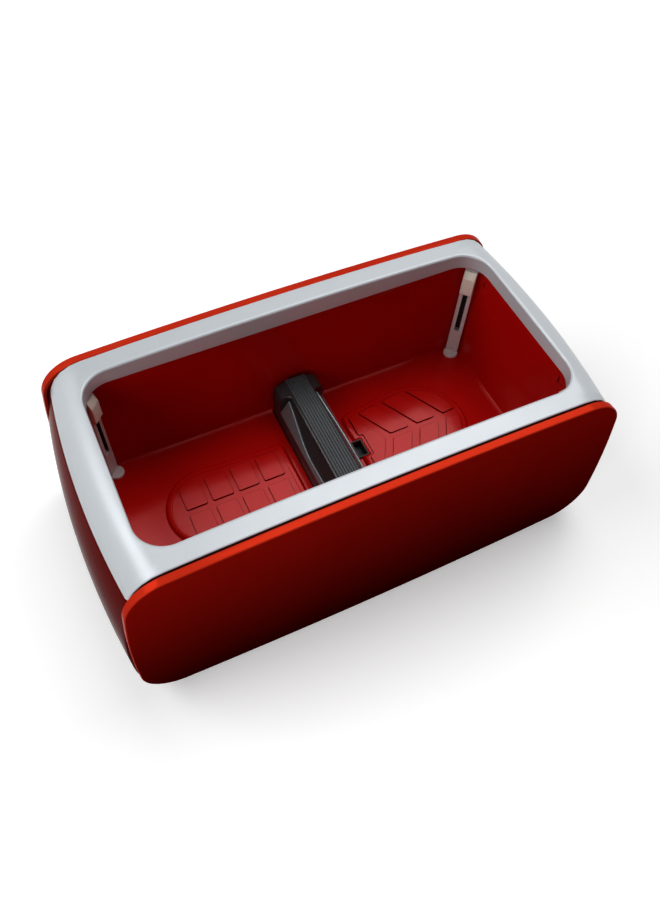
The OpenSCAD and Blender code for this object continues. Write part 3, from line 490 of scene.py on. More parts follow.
# Each footprint has a straight edge beside the pedal and a round end; the toe's is notched for the
# pocket. A rim runs round a lower field.
print_h, print_rim, field_drop, print_r = 3, 6, 0.5, 8
heel_x, heel_half, toe_x, toe_half = -33, 37, 36, 42
heel_arc, toe_arc = arc(-122, 0, 42, 92, 268, 61), arc(105, 0, 50.5, -95, 95, 71)
heel = np.concatenate([[(heel_x, -heel_half), (heel_x, heel_half)], heel_arc])
toe = np.concatenate([[(toe_x, -toe_half)], toe_arc, [(toe_x, toe_half)]])
notch_x, notch_y = pocket_x[1] + 0.1, pocket_y + 0.1
notch = [(toe_x, notch_y), (notch_x, notch_y), (notch_x, -notch_y), (toe_x, -notch_y)]
# (inset, height over the floor): foot, slope, rounded edge, level rim, step down to the field
print_steps = [
    (-1.6, -0.3), (-1.6, 0.2), (0.4, print_h - 0.7), (0.9, print_h - 0.2), (1.7, print_h),
    (print_rim - 1.2, print_h), (print_rim - 0.7, print_h - field_drop),
]
heel_shape, heel_caps = raised(eased(heel, print_r), print_steps, floor_z)
toe_shape, toe_caps = raised(np.concatenate([eased(toe, print_r), notch]), print_steps, floor_z)

# The blocks on the fields: two rows of four oblong ones under the heel, two rows of three slanted
# ones and an arrow head under the toe.
half_gap, block_h, block_r = 3, 1.5, 2.2
heel_start, heel_pitch, heel_block_l, heel_block_w = -65.3, 26.7, 21.5, 28
toe_start, toe_pitch, toe_block_l, toe_block_w, toe_slant = 42.5, 31, 22, 46, 0.56


def block_plan(x, length, width, slant):
    """Plan of one block beside a footprint's middle line: its far side is set back by the slant."""
    near, far, back = half_gap, half_gap + width, width * slant
    return np.array([(x, near), (x + length, near), (x + length - back, far), (x - back, far)])


heel_field, toe_field = inset(heel, print_rim), inset(toe, print_rim)
blocks = [
    clipped(block_plan(heel_start - heel_pitch * i, heel_block_l, heel_block_w, 0), heel_field)
    for i in range(4)
] + [
    clipped(block_plan(toe_start + toe_pitch * i, toe_block_l, toe_block_w, toe_slant), toe_field)
    for i in range(1, 4)
]
blocks += [plan[::-1] * (1, -1) for plan in blocks]
arrow_x, arrow_notch_x, arrow_notch_y = 42, 46.5, 13
arrow_tip = toe_start + toe_block_l + half_gap * toe_slant
arrow_half = (arrow_tip - arrow_x) / toe_slant
arrow = [
    (arrow_x, -arrow_half), (arrow_tip, 0), (arrow_x, arrow_half), (arrow_x, arrow_notch_y),
    (arrow_notch_x, arrow_notch_y), (arrow_notch_x, -arrow_notch_y), (arrow_x, -arrow_notch_y),
]
blocks.append(clipped(np.array(arrow), toe_field))
# (inset, height over the field): upright wall and rounded edge
block_steps = [(0, -0.3), (0, 0.9), (0.12, 1.3), (0.4, block_h)]
field_z = floor_z + print_h - field_drop
block_shapes = [
    raised(eased(plan, block_r), block_steps, field_z) for plan in blocks if len(plan) > 2
]


def flakes(tree, place, size):
    """Metal flakes of a size: the distance from the middle of the nearest one."""
    sockets = {"Vector": place, "Scale": 1 / (size * MM)}
    return add_node(tree, "TexVoronoi", sockets).outputs["Distance"]


def maths(tree, operation, *values):
    """Result of a sum on values or links."""
    return add_node(tree, "Math", dict(enumerate(values)), operation=operation).outputs[0]


def red_lacquer(name, deep, bright, metallic, specular, tint="#ffffff", foot=None):
    """Candy-red lacquer: a deep and a bright red mixed by patches as wide as a hand and by metal
    flakes, under a clear layer with a faint orange-peel wave and rub marks in its gloss. The flakes
    are 0.1 mm in fact and drawn 0.5 mm wide so that they show. Where foot names a colour, the red
    darkens downwards as painted shade: from the mixed red at 185 mm it goes to that colour at 10
    mm."""
    finish, tree, place = new_finish(name)
    hand, flake_size, rub, peel, peel_depth = 70, 0.5, 18, 5, 0.012
    patch_share, flake_share = 0.72, 0.3
    glint = maths(tree, "MULTIPLY", flakes(tree, place, flake_size), flake_share)
    share = maths(tree, "MULTIPLY_ADD", noise(tree, place, hand), patch_share, glint)
    tone = mixed(tree, share, srgb(deep), srgb(bright))
    # painted shade: where foot names a colour, the red darkens towards the foot
    if foot:
        height = add_node(tree, "SeparateXYZ", {"Vector": place}).outputs["Z"]
        rise = ranged(tree, height, 0, 1, 10 * MM, 185 * MM)
        tone = mixed(tree, rise, srgb(foot), tone)
    principled(tree, {
        "Base Color": tone,
        "Roughness": ranged(tree, noise(tree, place, rub, 5.0), 0.1, 0.2),
        "Normal": bump(tree, noise(tree, place, peel, 1.0), peel_depth),
        "Metallic": metallic, "IOR": 1.5, "Specular IOR Level": specular,
        "Specular Tint": srgb(tint),
    })
    return finish


# ABS, moulded and lacquered: a gloss red that goes nearly black where nothing lights it. The steep
# walls of the blocks take a darker red: painted shade, which draws dark lines round the blocks.
tray_red = red_lacquer("lacquered ABS, tray red", "#a20705", "#bd0c06", 0.06, 0.16)
shaded_block_wall_red = red_lacquer("lacquered ABS, painted shade on block walls", "#400302", "#520503", 0.06, 0.04)
make_piece(
    "foot_tray_shell", "root", tray_red, ["foot_tray"],
    [heel_shape, toe_shape], [walls, floor_plate],
    [*heel_caps, *toe_caps, *[cap for _, caps in block_shapes for cap in caps]],
    # the blocks' walls take the darker red: painted shade round the blocks
    lined=[shape for shape, _ in block_shapes], lining=shaded_block_wall_red,
)
coat(tray_red, "left_kicker_arms", "right_kicker_arms")

# Pedal body: a hollow black bar across the well that the foot pushes down. Moulded ABS with domed
# full-width ends, flanks cut back between them, and a rim under the tray floor that stops it.
body_low, body_high = node_box("pedal_body")
tread_w, tread_l, tread_top = node_box("pedal_tread")[1]  # half width, half length, height
bar_w, bar_l, bar_top, bar_low = 24, body_high[1], body_high[2], 50
flank_foot, cap_l, end_round = 84, 18, 2.5
recess_end, recess_lip, recess_r, recess_edge = bar_l - cap_l, 1.4, 6, 1.6
skirt_n = 34  # points down each side of the bar


def path_length(path):
    """Length along a path up to each of its points."""
    return np.concatenate([[0], np.cumsum(np.linalg.norm(np.diff(path, axis=0), axis=1))])


def resampled(path, count):
    """Points spaced evenly along a path."""
    along = path_length(path)
    even = np.linspace(0, along[-1], count)
    return points_of(*[np.interp(even, along, column) for column in path.T])


def smooth_step(low, high, value):
    """Rises from 0 at low to 1 at high, level at both ends: 3 t squared less 2 t cubed."""
    t = np.clip((value - low) / (high - low), 0, 1)
    return t * t * (3 - 2 * t)


def rounded(r, turn):
    """How far an edge of radius r is drawn in and set back at angles of its quarter turn: r less
    r times the cosine and r less r times the sine."""
    return r * (1 - np.cos(turn)), r * (1 - np.sin(turn))


# the side of the bar as a dome, at its ends, and as a flat flank, in the recess between them
bar_edge, bar_foot = [(tread_w, bar_top)], [(bar_w, flank_foot)]
dome_x, dome_z, dome_r = 15, 96, 9
dome_arc = arc(dome_x, dome_z, dome_r, 80, 0, 14)
dome = resampled(np.concatenate([bar_edge, dome_arc, bar_foot]), skirt_n)
flank = resampled(np.concatenate([bar_edge, bar_foot]), skirt_n)
flank_l = np.linalg.norm(flank[-1] - flank[0])
near_end = np.concatenate([
    np.linspace(recess_end - 9, recess_end + 2, 23),
    np.linspace(recess_end + 2, bar_l - end_round, 9),
])
bar_y = np.unique(
    np.concatenate([-near_end, np.linspace(-recess_end, recess_end, 41), near_end])
)
from_end = recess_end - np.abs(bar_y)[:, None]
from_lip = np.linspace(0, flank_l, skirt_n) - recess_lip
in_corner = (from_end < recess_r) & (from_lip < recess_r)
corner_in = recess_r - np.hypot(recess_r - from_end, recess_r - from_lip)
recess_in = np.where(in_corner, corner_in, np.minimum(from_end, from_lip))
cut_back = smooth_step(0, recess_edge, recess_in)[..., None]
skirted = dome * (1 - cut_back) + flank * cut_back
level = points_of(np.linspace(0, tread_w, 5)[:-1], bar_top)
stop_half, stop_w, stop_top, stop_low = 70, 5.5, 61.2, 55.2  # the rim that stops the bar
stop_x = bar_w + np.where(np.abs(bar_y) < stop_half, stop_w, 0)[:, None] * [0, 1, 1, 0, 0]
stop = points_of(stop_x, [stop_top, stop_top, stop_low, stop_low, bar_low])
levels = np.broadcast_to(level, (len(bar_y), *level.shape))
section = np.concatenate([levels, skirted, stop], 1)

# the end is the last section, drawn in along its normals in a quarter circle and then closed
ramp = np.gradient(section[-1], axis=0)
lean = points_of(-ramp[:, 1], ramp[:, 0])
lean /= np.maximum(np.linalg.norm(ramp, axis=1, keepdims=True), 1e-6)
lean[0], lean[-6:] = (0, 1), (1, 0)
end_in, end_back = rounded(end_round, bend)
bar_ends = section[-1] - np.abs(lean) * end_in[:, None, None]
bar_ends = np.concatenate([bar_ends, bar_ends[-1:] * (0, 1)])
bar_end_y = bar_l - np.append(end_back, 0)
bar_section = np.concatenate([bar_ends[::-1], section, bar_ends])
bar_place = np.concatenate([-bar_end_y[::-1], bar_y, bar_end_y])
bar_right = points_of(bar_section[..., 0], bar_place[:, None], bar_section[..., 1])

bar_wall, crown_in = 3, 1.5
inner_top, inner_w = bar_top - bar_wall, bar_w - bar_wall
inner_right = points_of(
    [0, tread_w - crown_in, inner_w, inner_w],
    np.clip(bar_place, bar_wall - bar_l, bar_l - bar_wall)[:, None],
    [inner_top, inner_top, flank_foot, bar_low],
)
inner_right[[0, -1], :, 0] = 0
bar_rim = np.stack([bar_right[:, -1], inner_right[:, -1]], 1)
half_bar = [bar_right, inner_right, bar_rim]


def tube(bore, r, low, high, x, y, turns=48):
    """Upright tube at x, y between two heights."""
    return lathe([(bore, low), (r, low), (r, high), (bore, high), (bore, low)], x, y, turns)


rod_bore, rod_tube_r = 4.4, 8.2
bar_tubes = [
    tube(rod_bore, rod_tube_r, bar_low, inner_top - 0.2, 0, sy * spring_y) for sy in BOTH
]


def block(low, high, r=1):
    """Upright block between two corners, with eased corners in plan and eased top and bottom."""
    (x0, y0, z0), (x1, y1, z1), ease = low, high, 0.4 * r
    plan = eased(np.array([(x0, y0), (x1, y0), (x1, y1), (x0, y1)], float), r)
    return raised(plan, [(ease, z0), (0, z0 + ease), (0, z1 - ease), (ease, z1)])


bridge_x, bridge_y, bridge_h = 21.5, 8, 5
pad_near, pad_far, pad_y, pad_top = 9, 17, 7, bar_low + 1
push_low = body_low[2] + 1  # the pads clear the treadle arms also where those have turned
push_blocks = [
    block((-bridge_x, -bridge_y, bar_low), (bridge_x, bridge_y, bar_low + bridge_h)),
    block((-pad_far, -pad_y, push_low), (-pad_near, pad_y, pad_top)),
    block((pad_near, -pad_y, push_low), (pad_far, pad_y, pad_top)),
]

# ABS, moulded in black: half gloss with a fine spark-eroded grain, 0.3 mm in fact and drawn 0.7 mm.
pedal_black = moulded_finish(
    "moulded ABS, black", "#191c1e", "#24282a", 0.7, 0.006, (0.24, 0.36), {"IOR": 1.54}
)
make_piece(
    "pedal_bar", "pedal", pedal_black, ["pedal_body"],
    [grid * (side, 1, 1) for grid in half_bar for side in BOTH]
    + bar_tubes + [shape for shape, _ in push_blocks],
    caps=[cap for _, caps in push_blocks for cap in caps],
)

# Pedal tread: a soft strip along the top of the bar with eight lengthwise ribs for grip, pressed
# into it. Moulded thermoplastic rubber, charcoal, a little greyer in patches.
tread_base, tread_sunk, rib_count, rib_w = bar_top + 1, 0.2, 8, 1.5
rib_crest, rib_foot = 0.45, 1.0  # half widths of a rib at its top and at its foot
rib_pitch = (2 * tread_w - rib_w) / (rib_count - 1)
strip_x = np.linspace(-tread_w, tread_w, 145)
off_rib = np.abs((strip_x + tread_w - rib_w / 2 + rib_pitch / 2) % rib_pitch - rib_pitch / 2)
strip_z = tread_base + (tread_top - tread_base) * smooth_step(rib_foot, rib_crest, off_rib)
strip_z[[0, -1]] = tread_base
# towards each end the strip comes down: distances from the end, and shares of the full height
fade_y, fade = tread_l - np.array([0, 0.25, 0.8, 2.0]), np.array([0, 0.75, 0.95, 1.0])
even_y = np.linspace(-70, 70, 15)
strip_y = np.concatenate([-fade_y, even_y, fade_y[::-1]])[:, None]
strip_share = np.concatenate([fade, np.ones(len(even_y)), fade[::-1]])[:, None]
strip_top = points_of(strip_x, strip_y, bar_top + (strip_z - bar_top) * strip_share)
strip_bottom = strip_top * (1, 1, 0) + (0, 0, bar_top - tread_sunk)
whole = np.ones((len(strip_y) - 1, len(strip_x) - 1), bool)
strip = sheet(strip_top, strip_bottom, whole, ((True, True), (True, True)))
tread_rubber = moulded_finish(
    "thermoplastic rubber, charcoal", "#2b2f32", "#3c4246", 0.6, 0.006, (0.4, 0.55), {"IOR": 1.5}
)
make_piece(
    "pedal_tread_ribbed", "pedal", tread_rubber, ["pedal_tread"], quads=[strip]
)

# Pedal inlays: a curved blade clipped to each flank of the bar, wide at the back and narrow along
# the rest. Moulded ABS with a satin metallic grey coat.
blade_gap, blade_foot, blade_r = 2.5, 1.2, 1.5
blade_y = np.linspace(blade_gap - recess_end, recess_end - blade_gap, 60)
blade_t = (blade_y - blade_y[0]) / (blade_y[-1] - blade_y[0])
sweep_start, sweep_end = 0.42, 1.12
swept = smooth_step(sweep_start, sweep_end, blade_t) / smooth_step(sweep_start, sweep_end, 1.0)
edge_down, edge_sweep, edge_curl = 20.5, 13.0, 2.2  # the upper edge, measured down the flank
blade_edge = edge_down - edge_sweep * swept - edge_curl * (1 - blade_t) ** 3
blade_outline = np.concatenate([
    points_of(blade_edge, blade_y), points_of(flank_l - blade_foot, blade_y[::-1])
])
down = (flank[-1] - flank[0]) / flank_l
flank_out = np.array([-down[1], down[0]])


def on_flank(points):
    """Places (down the flank, along the bar, out of the flank) on the right-hand flank."""
    side = flank[0] + points[..., :1] * down + points[..., 2:] * flank_out
    return points_of(side[..., 0], points[..., 1], side[..., 1])


# (inset, height over the flank): upright edge and rounded top
blade_steps = [(0, -0.3), (0, 0.8), (0.25, 1.1), (0.7, 1.2)]
blade_shape, blade_caps = raised(eased(blade_outline, blade_r)[::-1], blade_steps)
inlay_grey = metal_finish("metallic-coated ABS, grey", "#8f9a9f", 0.75, 0.6, 2.0, (0.22, 0.36))
for name, side in (("left", -1), ("right", 1)):
    make_piece(
        f"pedal_blade_{name}", "pedal", inlay_grey, [f"pedal_inlay_{name}"],
        [on_flank(blade_shape) * (side, 1, 1)],
        caps=[on_flank(cap) * (side, 1, 1) for cap in blade_caps],
    )

# Corner rails: four posts with a round back and a slotted flat face, which lean out with the walls
# of the well and stand on its floor. Moulded nylon, grey with a mauve cast; the channel in the slot
# takes the black carcass finish, painted shade in the slot.
corners = {
    "front_left": (-1, -1), "front_right": (1, -1), "back_left": (-1, 1), "back_right": (1, 1)
}
rail_r, rail_face, rail_turn, rail_gap = 6.6, 1.9, np.radians(42), (0.5, 1)
rail_top, rail_cap_t, rail_sunk, rail_ease, slot_ease = flange_z - 3, 1.4, 0.8, 0.7, 0.35
slot_w, slot_low, bay_w, bay_near, bay_far = 5, 95.5, 6.8, 1.6, 6.0
facing = -np.array((np.cos(rail_turn), np.sin(rail_turn)))
sideways = np.array((-facing[1], facing[0]))
rail_foot = well_floor - rail_gap - rail_r + rail_face * facing


def at_corner(points, sx, sy):
    """Places (out of the rail's face, across it, height) at one corner: the face looks into the
    well, turned by rail_turn from its length, the rail leans with the two walls beside it, and the
    corners mirror each other about the middle of the well's floor."""
    lean = mathutils.Vector(((draft[0] + sx * floor_shift) / well_h, draft[1] / well_h, 1))
    tilt = np.array(mathutils.Vector((0, 0, 1)).rotation_difference(lean).to_matrix())
    plan = points[..., :1] * facing + points[..., 1:2] * sideways
    stood = np.concatenate([plan, points[..., 2:] - floor_z], -1)
    return (stood @ tilt.T + (*rail_foot, floor_z)) * (sx, sy, 1) - (floor_shift, 0, 0)


half_face = np.sqrt(rail_r**2 - rail_face**2)
face_angle = np.degrees(np.arctan2(half_face, rail_face))
rail_back = arc(-rail_face, 0, rail_r, face_angle, 360 - face_angle, 41)
slot_half = np.array([(0, slot_w), (-bay_near, slot_w), (-bay_near, bay_w), (-bay_far, bay_w)])
slot_half = slot_half * (1, 0.5)
slot_edge = np.concatenate([slot_half * (1, -1), slot_half[::-1]])
rail_plan = eased(rail_back, rail_ease)
foot_shape, foot_caps = raised(rail_plan, [(0, floor_z - rail_sunk), (0, slot_low)])
post_plan = eased(np.concatenate([rail_back, slot_edge]), slot_ease)
post_shape, post_caps = raised(post_plan, [(0, slot_low - 0.2), (0, rail_top)])
post_out, post_across = post_plan.T
in_slot = np.flatnonzero(
    (post_out < -0.3) & (post_out > -bay_far - 0.2) & (np.abs(post_across) < bay_w / 2 + 0.2)
)
slot_first, slot_last = in_slot[[0, -1]]
channel = post_shape[:, slot_first : slot_last + 1]
outside = np.concatenate([post_shape[:, slot_last:-1], post_shape[:, : slot_first + 1]], 1)
# (radius, height over the floor) of the round foot
disc_out, disc_r, disc_h = 1.2, 7.7, 2.4
disc_profile = [
    (0, -rail_sunk), (disc_r, -rail_sunk), (disc_r, 1.4), (7.2, 2.1), (6.2, disc_h), (0, disc_h)
]
disc = lathe([(r, floor_z + z) for r, z in disc_profile], disc_out, 0)
cap_steps = [(0.02, 0), (0.02, 0.9), (0.2, 1.25), (0.6, rail_cap_t)]
top_shape, top_caps = raised(rail_plan, cap_steps, rail_top)
rail_nylon = moulded_finish(
    "moulded nylon, mauve grey", "#cfc5c5", "#ddd4d3", 0.7, 0.006, (0.35, 0.5), {"IOR": 1.53}
)
for corner, signs in corners.items():
    make_piece(
        f"rail_post_{corner}", "root", rail_nylon, [f"rail_{corner}"],
        [at_corner(grid, *signs) for grid in (foot_shape, disc, outside)],
        caps=[at_corner(cap, *signs) for cap in foot_caps + post_caps],
        # the channel takes the black finish: painted shade in the slot
        lined=[at_corner(channel, *signs)], lining=carcass,
    )
make_piece(
    "rail_post_caps", "root", rail_nylon, ["rail_caps"],
    [at_corner(top_shape, *signs) for signs in corners.values()],
    caps=[at_corner(cap, *signs) for signs in corners.values() for cap in top_caps],
)

# Followers and their springs: a cream block in each slot with sloped top and bottom, pushed up by a
# thin coil in the channel behind it. Moulded acetal, a little translucent; blackened spring wire.
follower_stroke, follower_h, play = 42, 29, 0.3
follower_top = rail_top - 0.6
follower_low = follower_top - follower_h
nose_reach, nose_slope, nose_edge, top_slope, nose_tip, nose_r = 4.2, 2.5, 2.4, 8, 0.9, 1.2
nose = np.array([
    (play, follower_low), (nose_edge, follower_low), (nose_reach, follower_low + nose_slope),
    (nose_reach, follower_top - top_slope), (nose_tip, follower_top), (play, follower_top),
])
nose_ease = [(0.8, 0), (0.25, 0.25), (0, 0.8)]  # (inset, distance from the side)
nose_steps = [(by, off - half_face) for by, off in nose_ease]
nose_steps += [(by, half_face - off) for by, off in nose_ease[::-1]]
nose_shape, nose_caps = raised(eased(nose, nose_r), nose_steps)


def upright(points):
    """Turns (out, height, across) into (out, across, height)."""
    return points[..., [0, 2, 1]]


tongue_out, tongue_y, head_y, follower_r = 1.2, slot_w / 2 - play, bay_w / 2 - play, 0.5
tongue_shape, tongue_caps = block(
    (play - bay_far, -tongue_y, follower_low), (tongue_out, tongue_y, follower_top), follower_r
)
head_shape, head_caps = block(
    (play - bay_far, -head_y, follower_low), (-bay_near - play, head_y, follower_top), follower_r
)
follower_shapes = [upright(nose_shape), tongue_shape, head_shape]
follower_caps = [upright(cap) for cap in nose_caps] + tongue_caps + head_caps
acetal = moulded_finish(
    "moulded acetal, cream", "#f8ecda", "#fdf4e6", 0.8, 0.006, (0.3, 0.42),
    {
        "IOR": 1.48, "Subsurface Weight": 0.15, "Subsurface Scale": 0.002,
        "Subsurface Radius": (1.0, 0.7, 0.45),
    },
)
black_wire = moulded_finish(
    "phosphated spring steel", "#151517", "#242427", 0.4, 0.0, (0.4, 0.55), {"Metallic": 0.6}
)
rail_coil_r, rail_wire_r, rail_coil_turns = 1.5, 0.3, 12
coil_foot = np.array((-(bay_near + bay_far) / 2, 0, slot_low))
rail_coil = coil(
    *coil_foot[:2], slot_low, follower_low, rail_coil_r, rail_wire_r, rail_coil_turns
)
for corner, signs in corners.items():
    make_piece(
        f"follower_block_{corner}", f"follower_{corner}_body", acetal,
        [f"follower_{corner}"], [at_corner(shape, *signs) for shape in follower_shapes],
        caps=[at_corner(cap, *signs) for cap in follower_caps],
    )
    rail_spring = make_piece(
        f"rail_coil_{corner}", "root", black_wire, [f"spring_{corner}"],
        [at_corner(rail_coil, *signs)],
    )
    anchor = at_corner(coil_foot, *signs)
    at_corner(coil_foot + (0, 0, 1), *signs) - anchor
    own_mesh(rail_spring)

# Top frame: the silver surround, one moulding that is crowned along its length, rolls over both
# ends and turns down into a skirt round the well. Painted ABS with a satin metallic coat.
body_half, body_top = cad_box[1][0] / MM, cad_box[1][2] / MM
frame_y, frame_skin, frame_corner_r = node_box("top_frame")[1][1], 3, 6
crown_drop, shoulder_r, bulge_r, bulge_z, bow_r = 4.6, 32, 320, 65, 780
bulge_x, bow_x = body_half - bulge_r, body_half - bow_r
shoulder_z = body_top - crown_drop - shoulder_r
shoulder_x = bulge_x + np.sqrt((bulge_r - shoulder_r) ** 2 - (shoulder_z - bulge_z) ** 2)
shoulder_turn = np.degrees(np.arctan2(shoulder_z - bulge_z, shoulder_x - bulge_x))
seam_z, side_lip_z, hook_x = 168.0, 181.1, 213
crown_r = (shoulder_x**2 + crown_drop**2) / (2 * crown_drop)


def crown(x):
    """How far the crowned top has dropped at x: the sagitta of a circle of radius crown_r."""
    return crown_r - np.sqrt(crown_r**2 - x**2)


crown_x = np.linspace(0, shoulder_x + 1.2, 160)
seam_turn = np.degrees(np.arcsin((seam_z - bulge_z) / bulge_r))
over_end = np.concatenate([
    points_of(crown_x, body_top - crown(crown_x)),
    arc(shoulder_x, shoulder_z, shoulder_r, 86.5, shoulder_turn, 90),
    arc(bulge_x, bulge_z, bulge_r, shoulder_turn - 0.1, seam_turn, 20),
])
over_along = path_length(over_end)
over_tangent = np.gradient(over_end, over_along, axis=0)
over_normal = unit(points_of(-over_tangent[:, 1], over_tangent[:, 0]))
frame_reach = over_along[-1]
bow_start, bow_full = 150, 190


def bowed(x, y):
    """Distance that the bowed ends draw a point in at y: none over the middle, and the sagitta of
    the bow's circle beyond."""
    return smooth_step(bow_start, bow_full, x) * (x - bow_x - np.sqrt((x - bow_x) ** 2 - y**2))


def over_frame(loop, depth):
    """Places (along the frame's length over its ends, across) on the frame, at a depth under its
    outer face: the profile is followed by its length, then drawn in by the bow."""
    along, y = np.abs(loop[:, 0]), loop[:, 1]
    profile = (*over_end.T, *over_normal.T)
    x, z, nx, nz = [np.interp(along, over_along, column) for column in profile]
    x, z = x - depth * nx, z - depth * nz
    return points_of(np.sign(loop[:, 0]) * (x - bowed(x, y)), y, z)


opening_half, opening_r = np.array((200, frame_y - 18.7)), 27
spread_x, spread_y = np.linspace(-1, 1, 49), np.linspace(-1, 1, 27)


def spread_rect(half, r):
    """Round rectangle whose sides have evenly spread points."""
    return round_rect(half, r, spread_x * (half[0] - r), spread_y * (half[1] - r), 20)


def opening_plan(out_by):
    """The opening's loop in plan, moved outwards."""
    return spread_rect(opening_half + out_by, opening_r + out_by)


def opening_loop(out_by):
    """The opening's loop as places over the frame: its plan with the bow's draw added, found in
    four rounds, and measured along the profile."""
    plan_x, y = opening_plan(out_by).T
    x = np.abs(plan_x)
    for _ in range(4):
        x = np.abs(plan_x) + bowed(x, y)
    return points_of(np.sign(plan_x) * np.interp(x, over_end[:, 0], over_along), y)


def rim_loop(in_by):
    """The frame's outer loop as places over the frame, moved in."""
    return spread_rect(np.array((frame_reach, frame_y)) - in_by, frame_corner_r - 0.5 * in_by)


inner_edge, outer_edge, skirt_low, skirt_t, skirt_edge = 2.2, 1.0, 179.5, 2.5, 0.5
edge_turn = quarter(6)
ring_share = np.linspace(0, 1, 34)
ring_in, ring_out = opening_loop(inner_edge), rim_loop(outer_edge)
under_in, under_out = opening_loop(skirt_t), rim_loop(frame_skin)
# the rim ends in an upright wall along the sides and in a plain edge at the ends
rim_line = rim_loop(0)
to_end = (np.abs(rim_line[:, :1]) - (frame_reach - frame_corner_r)) / frame_corner_r
to_end = np.clip(to_end, 0, 1)
wall_foot = over_frame(rim_line, outer_edge)
wall_foot[:, 2] = np.where(np.abs(wall_foot[:, 0]) < hook_x, side_lip_z, seam_z)
wall_inner = wall_foot - points_of(0, np.sign(wall_foot[:, 1]) * frame_skin, 0)
end_foot = over_frame(rim_line, frame_skin)
skirt_foot = at_height(opening_plan(skirt_edge), skirt_low)
outer_rows = [
    skirt_foot, at_height(opening_plan(0), skirt_low + skirt_edge),
    *[
        over_frame(opening_loop(by), 0) - (0, 0, drop)
        for by, drop in zip(*rounded(inner_edge, edge_turn))
    ],
    *[over_frame(ring_in + (ring_out - ring_in) * share, 0) for share in ring_share],
    *[over_frame(rim_loop(drop), by) for by, drop in zip(*rounded(outer_edge, edge_turn))],
]
inner_rows = [
    outer_rows[-1],
    *[foot * (1 - to_end) + end_foot * to_end for foot in (wall_foot, wall_inner)],
    *[
        over_frame(under_out + (under_in - under_out) * share, frame_skin)
        for share in ring_share[::3]
    ],
    at_height(opening_plan(skirt_t), skirt_low + skirt_edge),
    at_height(opening_plan(skirt_t - skirt_edge), skirt_low), skirt_foot,
]
boss_bore, boss_r, boss_x, boss_y = 1.7, 4, 120, opening_half[1] + 9.1
frame_bosses = [
    tube(boss_bore, boss_r, flange_z, body_top - crown_drop, x, sy * boss_y, 24)
    for x in (-boss_x, 0, boss_x) for sy in BOTH
]

# ABS, moulded and sprayed: aluminium flakes 0.05 mm across, drawn 0.4 mm wide so that they show.
silver, silver_tree, silver_place = new_finish("metallic-sprayed ABS, silver")
silver_flakes = flakes(silver_tree, silver_place, 0.4)
principled(silver_tree, {
    "Base Color": mixed(silver_tree, silver_flakes, srgb("#d6dbe0"), srgb("#cad0d5")),
    "Roughness": ranged(silver_tree, noise(silver_tree, silver_place, 25, 4.0), 0.32, 0.44),
    "Metallic": 0.2, "IOR": 1.5,
})
make_piece(
    "top_frame_shell", "root", silver, ["top_frame"], [np.stack(outer_rows)],
    # the side walls, underside and bosses take the black carcass finish: unpainted moulding
    # underneath, and painted shade in the gap above the panels' rims
    lined=[np.stack(inner_rows), *frame_bosses], lining=carcass,
)

# End panels: the bulged red ends under the frame's rolled-over ends. Moulded ABS shells with
# returns along their sides, turned in at the foot and screwed to the base plate's upstands.
end_top = node_box("right_end_panel")[1][2]
tuck_z, tuck_r, tuck_low = 47, 40, -52
tuck_x = bulge_x + np.sqrt((bulge_r - tuck_r) ** 2 - (tuck_z - bulge_z) ** 2)
tuck_end = np.degrees(np.arctan2(tuck_z - bulge_z, tuck_x - bulge_x))
panel_lean, panel_w, panel_rim, panel_skin, panel_gap = np.radians(3.43), 233, 7.8, 3, 0.4
end_return, end_round_r, seam_edge = 14, 2.2, 0.8
face_n, tuck_n, bulge_n = 33, 12, 40  # points across the face, rows of the tuck and of the bulge


def panel_face(z):
    """Distance of the front and back panels' outer faces from the middle at a height: they lean out
    towards the foot."""
    return panel_w / 2 + np.tan(panel_lean) * (body_top - z)


# once round the section: outer face, rounded edge and return, then the inside and back again
edge_deep, edge_in = rounded(end_round_r, edge_turn)
return_in = [*edge_in, 0, panel_skin, panel_skin]
return_deep = [*edge_deep, end_return, end_return, panel_skin]
face_share, return_share = np.linspace(-1, 1, face_n), np.ones(len(return_in))
inside = np.full(face_n, panel_skin)
side_of = np.concatenate([face_share, return_share, -face_share, -return_share])
side_in = np.concatenate([np.full(face_n, end_round_r), return_in, inside, return_in[::-1]])
side_deep = np.concatenate([np.zeros(face_n), return_deep, inside, return_deep[::-1]])

# rows from the tucked foot over the bulge to the rounded edge at the seam
seam_deep, seam_drop = rounded(seam_edge, quarter(4))
seam_rows_z = end_top - seam_drop
row_deep = np.concatenate([np.zeros(tuck_n + bulge_n), seam_deep])[:, None]
deep = np.maximum(side_deep, row_deep)
tuck_turn = np.radians(np.linspace(tuck_low, tuck_end, tuck_n + 1)[:-1])[:, None]
tuck_r_in, bulge_r_in = tuck_r - deep[:tuck_n], bulge_r - deep[tuck_n:]
tuck_points = points_of(
    tuck_x + tuck_r_in * np.cos(tuck_turn), tuck_z + tuck_r_in * np.sin(tuck_turn)
)
low_z = tuck_z + tuck_r * np.sin(np.radians(tuck_end))
bulge_rows_z = np.concatenate([np.linspace(low_z, seam_rows_z[0], bulge_n + 1)[:-1], seam_rows_z])
share_up = ((bulge_rows_z - low_z) / (end_top - low_z))[:, None]
low_by_depth = bulge_z + bulge_r_in * np.sin(np.radians(tuck_end))
bulge_rise = low_by_depth + (end_top - low_by_depth) * share_up
bulge_points = points_of(
    bulge_x + np.sqrt(bulge_r_in**2 - (bulge_rise - bulge_z) ** 2), bulge_rise
)
end_x, end_z = np.moveaxis(np.concatenate([tuck_points, bulge_points]), -1, 0)
end_y = side_of * (panel_face(end_z) - panel_rim / np.cos(panel_lean) - panel_gap - side_in)
end_shell = points_of(bow_x + np.sqrt((end_x - bow_x) ** 2 - end_y**2), end_y, end_z)
